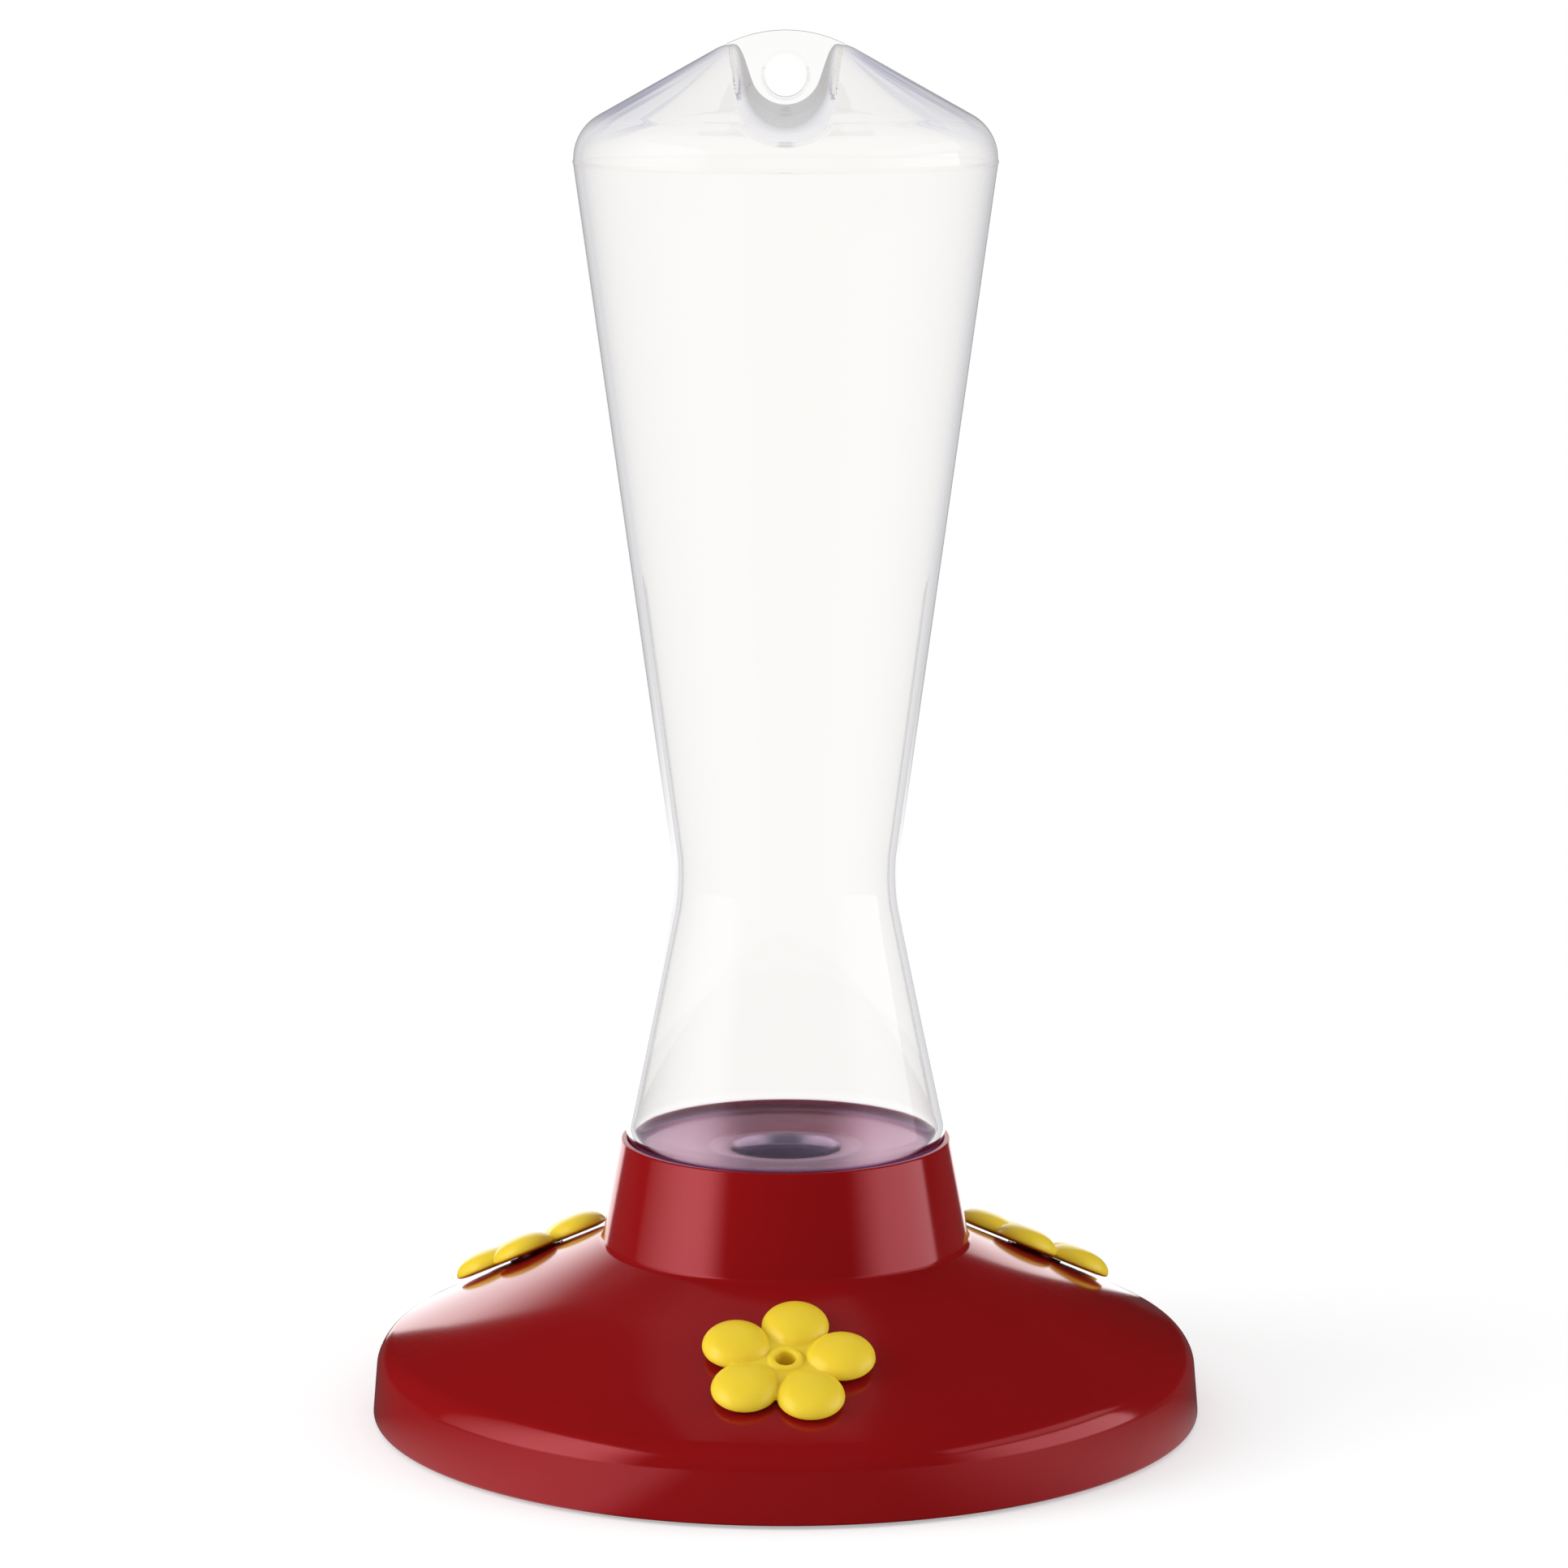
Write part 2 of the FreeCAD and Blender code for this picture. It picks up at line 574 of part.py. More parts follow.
def build_cover():
    cover = cover_shell()
    joined = [locating_ring()] + around(gusset(), GUSSET_COUNT) + bayonet_ledges()
    joined.append(
        thread_ridge(
            socket_bore,
            NECK_RADIUS + THREAD_SLACK,
            mouth_z + THREAD_START_RISE + THREAD_PITCH / 2,
            THREAD_TURNS,
        )
    )
    bosses, holes = [], []
    for name in FLOWER_AZIMUTHS:
        place = flower_placement(name)
        boss = Part.makeCylinder(BOSS_RADIUS, BOSS_HEIGHT + COVER_WALL / 2, V(0, 0, -COVER_WALL / 2))
        hole = Part.makeCylinder(
            STEM_RADIUS + STEM_GAP, BOSS_HEIGHT + COVER_WALL + 2 * OVERRUN, V(0, 0, -COVER_WALL - OVERRUN)
        )
        boss.Placement = place
        hole.Placement = place
        bosses.append(boss)
        holes.append(hole)
    cover = cover.multiFuse(joined + bosses)
    for hole in holes:
        cover = cover.cut(hole)
    return cover


def build_tray():
    inner = tray_radius - TRAY_WALL
    points = [
        (0, FOOT_HEIGHT, 0),
        (inner, FOOT_HEIGHT, 0),
        (inner, 0, 0),
        (tray_radius, 0, EDGE_ROUND),
        (tray_radius, tray_rim_z, EDGE_ROUND),
        (inner, tray_rim_z, 0),
        (inner, tray_floor_z, TRAY_CORNER),
        (0, tray_floor_z, 0),
    ]
    lug_low, lug_high = LUG_LIFT, LUG_LIFT + LUG_HEIGHT
    lug = ring_sector(
        tray_radius - EMBED, tray_radius + LUG_DEPTH, lug_low, lug_high, -LUG_ANGLE / 2 + STOP_GAP_ANGLE, LUG_ANGLE
    )
    post = ring_sector(
        NECK_BORE, drop_tube_radius, tray_floor_z - EMBED, drop_tube_z - POST_GAP, -POST_ANGLE / 2, POST_ANGLE
    )
    rib = Part.makeBox(
        tray_radius - TRAY_RIB_END_GAP - TRAY_RIB_INNER,
        TRAY_RIB_WIDTH,
        TRAY_RIB_HEIGHT + EMBED,
        V(TRAY_RIB_INNER, -TRAY_RIB_WIDTH / 2, tray_floor_z - EMBED),
    )
    joined = around(lug, LUG_COUNT, FULL_TURN / LUG_COUNT / 2)
    joined += around(post, POST_COUNT)
    joined += around(rib, TRAY_RIB_COUNT, FULL_TURN / TRAY_RIB_COUNT / 2)
    return turned(points).multiFuse(joined)


def petal_prism(inset, low, high):
    """Upright egg-shaped prism: a large round end away from the hub and a smaller one near it."""
    big, small = PETAL_RADIUS - inset, petal_heel_radius - inset
    # The straight sides touch both round ends, square to these points
    big_x, big_y = big * cos(PETAL_TAPER), petal_reach - big * sin(PETAL_TAPER)
    small_x, small_y = small * cos(PETAL_TAPER), petal_heel_reach - small * sin(PETAL_TAPER)
    edges = [
        Part.Arc(V(big_x, big_y, low), V(0, petal_reach + big, low), V(-big_x, big_y, low)).toShape(),
        Part.makeLine(V(-big_x, big_y, low), V(-small_x, small_y, low)),
        Part.Arc(
            V(-small_x, small_y, low), V(0, petal_heel_reach - small, low), V(small_x, small_y, low)
        ).toShape(),
        Part.makeLine(V(small_x, small_y, low), V(big_x, big_y, low)),
    ]
    return Part.Face(Part.Wire(edges)).extrude(V(0, 0, high - low))


def petal_pad(inset, low, top):
    """Petal with a domed top at that height."""
    ball = Part.makeSphere(PETAL_CROWN, V(0, petal_middle, top - PETAL_CROWN))
    return petal_prism(inset, low, top + OVERRUN).common(ball)


def build_flower(name):
    """One moulded flower: five hollow petals, a hub with a raised eye, and a slit stem that snaps into the port."""
    petal = petal_pad(0.0, 0.0, PETAL_HEIGHT)
    dome_faces = [f for f in petal.Faces if isinstance(f.Surface, Part.Sphere)]
    petal = petal.makeFillet(petal_round, dome_faces[0].OuterWire.Edges)
    hollow = petal_pad(PETAL_WALL, -OVERRUN, PETAL_HEIGHT - PETAL_WALL)
    hub = Part.makeCylinder(HUB_RADIUS, HUB_THICKNESS)
    head = hub.multiFuse(around(petal, PETAL_COUNT))
    for space in around(hollow, PETAL_COUNT):
        head = head.cut(space)

    barb_z = -BOSS_HEIGHT - COVER_WALL - STEM_AXIAL_GAP
    stem_points = [
        (0, barb_z - BARB_LENGTH, 0),
        (STEM_RADIUS - BARB_TIP_STEP, barb_z - BARB_LENGTH, 0),
        (STEM_RADIUS + BARB_STEP, barb_z, 0),
        (STEM_RADIUS, barb_z, 0),
        (STEM_RADIUS, HUB_THICKNESS / 2, 0),
        (EYE_RADIUS, HUB_THICKNESS / 2, 0),
        (EYE_RADIUS, HUB_THICKNESS + EYE_HEIGHT, EYE_HEIGHT / 2),
        (0, HUB_THICKNESS + EYE_HEIGHT, 0),
    ]
    flower = turned(stem_points).fuse(head)
    height = BARB_LENGTH - barb_z + HUB_THICKNESS + EYE_HEIGHT + 2 * OVERRUN
    bore = Part.makeCylinder(NECTAR_HOLE_RADIUS, height, V(0, 0, barb_z - BARB_LENGTH - OVERRUN))
    flower = flower.cut(bore)
    slit = Part.makeBox(
        2 * (STEM_RADIUS + BARB_STEP + OVERRUN),
        SLIT_WIDTH,
        BARB_LENGTH + COVER_WALL / 2 + OVERRUN,
        V(-STEM_RADIUS - BARB_STEP - OVERRUN, -SLIT_WIDTH / 2, barb_z - BARB_LENGTH - OVERRUN),
    )
    for i in range(SLIT_COUNT):
        cut = slit.copy()
        cut.rotate(ORIGIN, UP, i * FULL_TURN / 2 / SLIT_COUNT)
        flower = flower.cut(cut)

    flower.rotate(ORIGIN, UP, FLOWER_TURNS[name])
    flower.translate(V(0, 0, BOSS_HEIGHT + FLOWER_SEAT_GAP))
    flower.Placement = flower_placement(name).multiply(flower.Placement)
    return flower


def write(name, shape):
    if not shape.isValid() or len(shape.Solids) != 1:
        raise ValueError(f"{name} came out with {len(shape.Solids)} solids, valid {shape.isValid()}")
    shape.Solids[0].exportStep(f"parts/{name}.step")
    return shape.Solids[0]


def main():
    os.makedirs("parts", exist_ok=True)
    write("nectar_tray", build_tray())
    write("base_cover", build_cover())
    write("neck_gasket", build_gasket())
    write("bottle", build_bottle())
    for name in FLOWER_AZIMUTHS:
        write(name, build_flower(name))


main()
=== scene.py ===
"""Looks of a hummingbird feeder: clear blown nectar bottle, glossy red base and yellow flower ports."""

import math

import bmesh
import bpy
from bpy.props import FloatProperty, IntProperty, PointerProperty, StringProperty
from mathutils import Matrix, Vector


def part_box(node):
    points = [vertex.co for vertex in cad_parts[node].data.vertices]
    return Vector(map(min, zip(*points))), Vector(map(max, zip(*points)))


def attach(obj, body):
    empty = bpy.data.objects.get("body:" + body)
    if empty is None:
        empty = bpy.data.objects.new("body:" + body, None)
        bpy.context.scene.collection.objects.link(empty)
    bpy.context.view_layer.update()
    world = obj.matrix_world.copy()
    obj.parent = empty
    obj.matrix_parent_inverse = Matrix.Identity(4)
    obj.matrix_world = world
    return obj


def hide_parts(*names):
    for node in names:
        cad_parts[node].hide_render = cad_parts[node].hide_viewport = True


bl_info = {
    "name": "Hummingbird feeder",
    "version": (1, 0, 0),
    "blender": (4, 5, 0),
    "location": "3D View > Sidebar > Feeder",
    "description": "Models and finishes a hummingbird feeder around its packed frame",
    "category": "Object",
}

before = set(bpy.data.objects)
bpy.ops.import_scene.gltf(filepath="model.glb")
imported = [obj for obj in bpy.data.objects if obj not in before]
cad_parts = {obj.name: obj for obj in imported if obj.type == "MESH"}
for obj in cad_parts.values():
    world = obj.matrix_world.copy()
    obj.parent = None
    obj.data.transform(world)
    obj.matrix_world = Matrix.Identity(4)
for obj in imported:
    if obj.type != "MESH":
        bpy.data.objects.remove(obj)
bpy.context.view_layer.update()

MM = 0.001
TOUCH = 1e-6  # two points nearer than this are one
UP = Vector((0, 0, 1))


def tan(degrees):
    return math.tan(math.radians(degrees))


def sin(degrees):
    return math.sin(math.radians(degrees))


def cos(degrees):
    return math.cos(math.radians(degrees))


def crossing(p, along_p, q, along_q):
    """Point where two lines of a section meet, each given by a point and a direction."""
    det = along_p[0] * along_q[1] - along_p[1] * along_q[0]
    step = ((q[0] - p[0]) * along_q[1] - (q[1] - p[1]) * along_q[0]) / det
    return (p[0] + step * along_p[0], p[1] + step * along_p[1])


class BaseSizes(bpy.types.PropertyGroup):
    """Sizes of the domed cover."""

    skirt_radius: FloatProperty(
        name="Skirt radius", description="Outside, at the lower edge", default=62.5 * MM, unit="LENGTH"
    )
    skirt_lift: FloatProperty(
        name="Skirt lift", description="Lower edge above the table", default=0.5 * MM, unit="LENGTH"
    )
    skirt_height: FloatProperty(
        name="Skirt height", description="Up to the shoulder", default=7.5 * MM, unit="LENGTH"
    )
    skirt_draft: FloatProperty(name="Skirt draft", description="Degrees that the skirt leans in", default=4.8)
    shoulder_radius: FloatProperty(
        name="Shoulder", description="Rounding between skirt and dome", default=4.6 * MM, unit="LENGTH"
    )
    dome_slope: FloatProperty(name="Dome slope", description="Degrees below level, going out", default=25.3)
    wall: FloatProperty(name="Wall", description="Thickness of the moulding", default=1.6 * MM, unit="LENGTH")
    collar_foot_radius: FloatProperty(
        name="Collar foot", description="Outer radius on the dome", default=27.7 * MM, unit="LENGTH"
    )
    collar_height: FloatProperty(
        name="Collar height", description="Foot to rim", default=15.7 * MM, unit="LENGTH"
    )
    collar_top_radius: FloatProperty(
        name="Collar rim", description="Outer radius at the rim", default=24.75 * MM, unit="LENGTH"
    )
    collar_wall: FloatProperty(
        name="Collar wall", description="Thickness of the collar", default=1.5 * MM, unit="LENGTH"
    )
    boss_height: FloatProperty(
        name="Boss", description="Port boss above the dome", default=0.25 * MM, unit="LENGTH"
    )
    segments: IntProperty(name="Segments", description="Faces round the axis", default=192, min=48)


class BottleSizes(bpy.types.PropertyGroup):
    """Sizes of the blown bottle."""

    sink: FloatProperty(
        name="Sink", description="Bottle floor below the collar's rim", default=2.2 * MM, unit="LENGTH"
    )
    heel_radius: FloatProperty(
        name="Heel", description="Rounding at the bottle's foot", default=4.2 * MM, unit="LENGTH"
    )
    waist_radius: FloatProperty(
        name="Waist", description="Where the two cones meet", default=16.4 * MM, unit="LENGTH"
    )
    top_radius: FloatProperty(name="Top radius", description="At the seam", default=31.07 * MM, unit="LENGTH")
    wall: FloatProperty(name="Wall", description="Blown wall thickness", default=1.2 * MM, unit="LENGTH")
    neck_radius: FloatProperty(
        name="Neck radius", description="Outside of the neck", default=8.2 * MM, unit="LENGTH"
    )
    neck_bore: FloatProperty(
        name="Neck bore", description="Inside of the neck", default=6.4 * MM, unit="LENGTH"
    )
    tab_thickness: FloatProperty(
        name="Tab", description="Thickness of the hanging tab", default=3.0 * MM, unit="LENGTH"
    )
    hole_radius: FloatProperty(
        name="Hanging hole", description="Radius of the hole", default=3.1 * MM, unit="LENGTH"
    )
    segments: IntProperty(name="Segments", description="Faces round the axis", default=240, min=48)


class FlowerSizes(bpy.types.PropertyGroup):
    """Sizes of one snap-in flower."""

    port_share: FloatProperty(name="Port place", description="Share of the way down the dome", default=0.5356)
    petal_tip: FloatProperty(
        name="Petal tip", description="Hub centre to the outer end", default=13.0 * MM, unit="LENGTH"
    )
    petal_radius: FloatProperty(
        name="Petal radius", description="The large round end", default=4.9 * MM, unit="LENGTH"
    )
    heel_share: FloatProperty(
        name="Petal heel", description="Small end as a share of the large one", default=0.64
    )
    petal_taper: FloatProperty(
        name="Petal taper", description="Degrees from the middle line to the sides", default=55.0
    )
    petal_height: FloatProperty(
        name="Petal height", description="Over the flower's underside", default=3.0 * MM, unit="LENGTH"
    )
    petals: IntProperty(name="Petals", description="Petals on one flower", default=5, min=3)
    hub_radius: FloatProperty(
        name="Hub radius", description="Disc that joins the petals", default=7.8 * MM, unit="LENGTH"
    )
    hole_radius: FloatProperty(
        name="Feeding hole", description="Radius of the hole", default=1.5 * MM, unit="LENGTH"
    )


class Finishes(bpy.types.PropertyGroup):
    """Colours as sRGB hex values."""

    red: StringProperty(name="Base red", description="Moulded base", default="#8F1113")
    yellow: StringProperty(name="Flower yellow", description="Moulded flowers", default="#F5D534")
    # Painted shade: this lavender stands for dark surroundings seen through the thick roof, painted into the
    # bottle's tint as streaks
    clear: StringProperty(
        name="Bottle streaks", description="Thick parts of the blown bottle", default="#D2D1E2"
    )
    floor: StringProperty(
        name="Bottle floor", description="Light that comes through its floor", default="#F6DDF0"
    )
    # Painted shade: the dark of the neck's shadowed inside, painted into the neck
    neck: StringProperty(name="Bottle neck", description="Gloom in the thick neck", default="#4F4D66")
    # Painted shade: the dark of the collar's inside, seen through the bottle's foot, painted as a violet line
    heel: StringProperty(name="Bottle heel", description="Violet line at its foot", default="#B9A4D2")
    # Haze in the floor whose pink is partly painted light: the red deck below, seen through it
    haze_and_deck_red: StringProperty(name="Floor haze", description="Haze in the bottle's floor", default="#F2BFDD")
    seal: StringProperty(name="Seal", description="Silicone gasket", default="#D9D2D0")


# Small tools shared by the pieces


def deselect():
    if bpy.context.mode != "OBJECT":
        bpy.ops.object.mode_set(mode="OBJECT")
    bpy.ops.object.select_all(action="DESELECT")


def activate(obj):
    deselect()
    obj.select_set(True)
    bpy.context.view_layer.objects.active = obj


def newest(name):
    """Names the piece that an operator has just added and puts its place into its mesh."""
    obj = bpy.context.object
    obj.name = name
    obj.data.name = name
    bpy.ops.object.transform_apply(location=True, rotation=True, scale=True)
    return obj


def select_in_mesh(kind, test):
    """Selects the edit mesh's verts, edges or faces that pass the test."""
    bpy.ops.mesh.select_mode(type={"verts": "VERT", "edges": "EDGE", "faces": "FACE"}[kind])
    bpy.ops.mesh.select_all(action="DESELECT")
    mesh = bpy.context.object.data
    bm = bmesh.from_edit_mesh(mesh)
    for part in getattr(bm, kind):
        if test(part):
            part.select_set(True)
    bm.select_flush_mode()
    bmesh.update_edit_mesh(mesh)


def on_ring(radius, height):
    """Test for the edges that run round the axis at that radius and height."""

    def test(edge):
        return all(
            abs(math.hypot(v.co.x, v.co.y) - radius) < 10 * TOUCH and abs(v.co.z - height) < 10 * TOUCH
            for v in edge.verts
        )

    return test


def turn(name, outline, segments, steps=8, closed=True):
    """Turns (radius, height, rounding) points about the upright axis by drawing a ring along them."""
    deselect()
    radius, height, _ = outline[0]
    bpy.ops.mesh.primitive_circle_add(vertices=segments, radius=radius, location=(0, 0, height))
    obj = newest(name)
    bpy.ops.object.mode_set(mode="EDIT")
    bpy.ops.mesh.select_mode(type="VERT")
    bpy.ops.mesh.select_all(action="SELECT")
    rest = outline[1:] + outline[:1] if closed else outline[1:]
    for r, z, _ in rest:
        bpy.ops.mesh.extrude_edges_move(TRANSFORM_OT_translate={"value": (0, 0, z - height)})
        bpy.ops.transform.resize(value=(r / radius, r / radius, 1), center_override=(0, 0, z))
        radius, height = r, z
    bpy.ops.mesh.select_all(action="SELECT")
    bpy.ops.mesh.remove_doubles(threshold=TOUCH)
    bpy.ops.mesh.normals_make_consistent(inside=False)
    round_rings(outline, steps, closed)
    bpy.ops.object.mode_set(mode="OBJECT")
    return obj


def round_rings(outline, steps, closed):
    """Bevels each ring of the outline that has a rounding, to that radius."""
    count = len(outline)
    for i, (r, z, rounding) in enumerate(outline):
        if rounding <= 0 or (not closed and i in (0, count - 1)):
            continue
        before, after = outline[i - 1], outline[(i + 1) % count]
        into = Vector((r - before[0], z - before[1]))
        out = Vector((after[0] - r, after[1] - z))
        tangent = rounding * math.tan(into.angle(out) / 2)
        select_in_mesh("edges", on_ring(r, z))
        bpy.ops.mesh.bevel(
            offset=tangent, offset_type="OFFSET", segments=steps, profile=0.5, affect="EDGES",
            clamp_overlap=False,
        )


def apply_modifier(obj, kind, **settings):
    activate(obj)
    modifier = obj.modifiers.new(kind.title(), kind)
    for key, value in settings.items():
        setattr(modifier, key, value)
    bpy.ops.object.modifier_apply(modifier=modifier.name)


def cut(obj, tool, operation="DIFFERENCE"):
    """Boolean of two closed pieces; the tool is used up."""
    apply_modifier(obj, "BOOLEAN", object=tool, operation=operation, solver="EXACT")
    bpy.data.objects.remove(tool)
    return obj


def join(obj, *others):
    activate(obj)
    for other in others:
        other.select_set(True)
    bpy.ops.object.join()
    return obj


def copies_round(obj, count, first=0.0):
    """Copies of a piece about the upright axis, each with its own mesh, joined into it."""
    extra = []
    for i in range(1, count):
        copy = obj.copy()
        copy.data = obj.data.copy()
        bpy.context.collection.objects.link(copy)
        copy.data.transform(Matrix.Rotation(math.tau * i / count, 4, "Z"))
        extra.append(copy)
    if first:
        for piece in [obj] + extra:
            piece.data.transform(Matrix.Rotation(math.radians(first), 4, "Z"))
    return join(obj, *extra)


def block(name, low, high):
    """Box between two corners."""
    deselect()
    low, high = Vector(low), Vector(high)
    bpy.ops.mesh.primitive_cube_add(size=1, location=(low + high) / 2, scale=high - low)
    return newest(name)


def ring_block(name, inner, outer, low, high, start, sweep, steps=12):
    """Sector of a ring: a flat plate swung about the upright axis."""
    deselect()
    middle = ((inner + outer) / 2, 0, (low + high) / 2)
    bpy.ops.mesh.primitive_plane_add(size=1, location=middle, rotation=(math.pi / 2, 0, 0))
    bpy.context.object.scale = (outer - inner, high - low, 1)
    obj = newest(name)
    obj.data.transform(Matrix.Rotation(math.radians(start), 4, "Z"))
    bpy.ops.object.mode_set(mode="EDIT")
    bpy.ops.mesh.select_all(action="SELECT")
    bpy.ops.mesh.spin(steps=steps, angle=math.radians(sweep), center=(0, 0, 0), axis=(0, 0, 1))
    bpy.ops.mesh.select_all(action="SELECT")
    bpy.ops.mesh.normals_make_consistent(inside=False)
    bpy.ops.object.mode_set(mode="OBJECT")
    return obj


def rod(name, radius, start, end, segments=64, end_radius=None):
    """Round bar between two points, or a taper where the end radius differs."""
    deselect()
    start, end = Vector(start), Vector(end)
    bpy.ops.mesh.primitive_cone_add(
        vertices=segments, radius1=radius, radius2=end_radius or radius, depth=(end - start).length
    )
    obj = newest(name)
    turn_to = UP.rotation_difference((end - start).normalized()).to_matrix().to_4x4()
    obj.data.transform(Matrix.Translation((start + end) / 2) @ turn_to)
    return obj


def smooth(obj, angle=32.0):
    activate(obj)
    bpy.ops.object.shade_smooth_by_angle(angle=math.radians(angle))


# Where things are, worked out as the mould drawings do


def base_lines():
    """Named points of the base cover's section, shared by the cover, the bottle and the flowers."""
    b = bpy.context.scene.feeder_base
    skirt_line = (-sin(b.skirt_draft), cos(b.skirt_draft))
    dome_line = (-cos(b.dome_slope), sin(b.dome_slope))
    top_r = b.skirt_radius - b.skirt_height * tan(b.skirt_draft)
    top_z = b.skirt_lift + b.skirt_height
    centre_r = top_r - b.shoulder_radius * cos(b.skirt_draft)
    centre_z = top_z - b.shoulder_radius * sin(b.skirt_draft)
    start = (
        centre_r + b.shoulder_radius * sin(b.dome_slope),
        centre_z + b.shoulder_radius * cos(b.dome_slope),
    )
    foot_z = start[1] + (start[0] - b.collar_foot_radius) * tan(b.dome_slope)
    rim_z = foot_z + b.collar_height
    lean = (b.collar_foot_radius - b.collar_top_radius) / b.collar_height
    # The inner lines run one wall inside the outer ones
    skirt_inside = (b.skirt_radius - b.wall / cos(b.skirt_draft), b.skirt_lift)
    dome_inside = (start[0] - b.wall * sin(b.dome_slope), start[1] - b.wall * cos(b.dome_slope))
    collar_inside = (b.collar_foot_radius - b.collar_wall, foot_z)
    return {
        "dome_start": start,
        "corner": crossing((b.skirt_radius, b.skirt_lift), skirt_line, start, dome_line),
        "inner_corner": crossing(skirt_inside, skirt_line, dome_inside, dome_line),
        "under_dome": crossing(dome_inside, dome_line, collar_inside, (-lean, 1)),
        "skirt_inside": skirt_inside,
        "lean": lean,
        "foot_z": foot_z,
        "rim_z": rim_z,
    }


def port_radius():
    """Distance of the feeding ports from the feeder's axis."""
    foot_r = bpy.context.scene.feeder_base.collar_foot_radius
    return foot_r + bpy.context.scene.feeder_flower.port_share * (base_lines()["dome_start"][0] - foot_r)


def collar_inside(z):
    """Inner radius of the collar at a height."""
    b, lines = bpy.context.scene.feeder_base, base_lines()
    return b.collar_top_radius - b.collar_wall + (lines["rim_z"] - z) * lines["lean"]


def dome_height(radius):
    b = bpy.context.scene.feeder_base
    start_r, start_z = base_lines()["dome_start"]
    return start_z + (start_r - radius) * tan(b.dome_slope)


FLOWERS = {
    # node: (body, degrees round the feeder from the front, the flower's own turn)
    "flower_front": ("front_flower", 0.0, -9.8),
    "flower_right": ("right_flower", 120.0, -29.0),
    "flower_left": ("left_flower", 240.0, 3.7),
}


def port_matrix(azimuth):
    """Place of a feeding port: its Z is square to the dome and its Y runs up the slope."""
    seat = Matrix.Translation((0, -port_radius(), dome_height(port_radius())))
    lean = Matrix.Rotation(math.radians(bpy.context.scene.feeder_base.dome_slope), 4, "X")
    return Matrix.Rotation(math.radians(azimuth), 4, "Z") @ seat @ lean


# Materials


def linear(hex_colour):
    """sRGB hex value as the linear colour that the shader nodes want."""
    value = hex_colour.lstrip("#")
    channels = [int(value[i : i + 2], 16) / 255 for i in (0, 2, 4)]
    return [c / 12.92 if c <= 0.04045 else ((c + 0.055) / 1.055) ** 2.4 for c in channels] + [1.0]


def shade(colour, share):
    """The colour made darker or lighter by a share."""
    return [min(c * share, 1.0) for c in colour[:3]] + [1.0]


TIMES = {"operation": "MULTIPLY"}
LESS = {"operation": "SUBTRACT"}
LARGER = {"operation": "MAXIMUM"}
OVER = {"operation": "GREATER_THAN"}
UNSIGNED = {"operation": "ABSOLUTE"}
ANGLE = {"operation": "ARCTAN2"}
LENGTH = {"operation": "LENGTH"}
EASED = {"interpolation_type": "SMOOTHSTEP"}  # inputs: value, where it starts and ends, result there
COLOURS = {"data_type": "RGBA"}


def add(tree, kind, settings=(), *sources, **named):
    """Adds a node; its sockets take numbers, colours, outputs or nodes, in their order or by name."""
    node = tree.nodes.new(kind)
    for key, value in dict(settings).items():
        setattr(node, key, value)
    by_name = {key.replace("_", " "): source for key, source in named.items()}
    for key, source in [*enumerate(sources), *by_name.items()]:
        if isinstance(source, bpy.types.Node):
            source = next(output for output in source.outputs if output.enabled)
        if isinstance(source, bpy.types.NodeSocket):
            tree.links.new(node.inputs[key], source)
        else:
            node.inputs[key].default_value = source
    return node


def new_material(name):
    material = bpy.data.materials.new(name)
    material.use_nodes = True
    material.node_tree.nodes.clear()
    return material, material.node_tree


def dress(obj, material):
    obj.data.materials.clear()
    obj.data.materials.append(material)


def moulded_red():
    """Injection-moulded ABS: deep even red under a wet gloss, with the faint ripple of the cooled skin."""
    material, tree = new_material("Moulded ABS gloss red")
    red = linear(bpy.context.scene.feeder_finish.red)
    place = add(tree, "ShaderNodeTexCoord").outputs["Object"]
    flow = add(tree, "ShaderNodeTexNoise", Vector=place, Scale=1 / (30 * MM), Detail=3.0)
    ripple = add(tree, "ShaderNodeTexNoise", Vector=place, Scale=1 / (6 * MM), Detail=2.0)
    shader = add(
        tree, "ShaderNodeBsdfPrincipled",
        Base_Color=add(tree, "ShaderNodeMix", COLOURS, Factor=flow, A=shade(red, 0.94), B=shade(red, 1.06)),
        Roughness=add(tree, "ShaderNodeMapRange", Value=flow, To_Min=0.1, To_Max=0.15),
        Normal=add(tree, "ShaderNodeBump", Height=ripple, Strength=0.05, Distance=0.05 * MM),
        IOR=1.53, Specular_IOR_Level=1.0, Specular_Tint=(1.0, 0.3, 0.35, 1.0),
    )
    add(tree, "ShaderNodeOutputMaterial", Surface=shader)
    return material


def moulded_yellow():
    """Injection-moulded polypropylene: warm, slightly waxy yellow with soft broad highlights."""
    material, tree = new_material("Moulded polypropylene yellow")
    yellow = linear(bpy.context.scene.feeder_finish.yellow)
    place = add(tree, "ShaderNodeTexCoord").outputs["Object"]
    cloud = add(tree, "ShaderNodeTexNoise", Vector=place, Scale=1 / (5 * MM), Detail=3.0)
    grain = add(tree, "ShaderNodeTexNoise", Vector=place, Scale=1 / (0.6 * MM), Detail=2.0)
    tint = add(tree, "ShaderNodeMix", COLOURS, Factor=cloud, A=shade(yellow, 0.95), B=shade(yellow, 1.05))
    shader = add(
        tree, "ShaderNodeBsdfPrincipled",
        Base_Color=tint,
        Normal=add(tree, "ShaderNodeBump", Height=grain, Strength=0.08, Distance=0.03 * MM),
        IOR=1.49, Roughness=0.3,
        Subsurface_Weight=0.25, Subsurface_Scale=1.2 * MM, Subsurface_Radius=(1.0, 0.6, 0.1),
    )
    add(tree, "ShaderNodeOutputMaterial", Surface=shader)
    return material


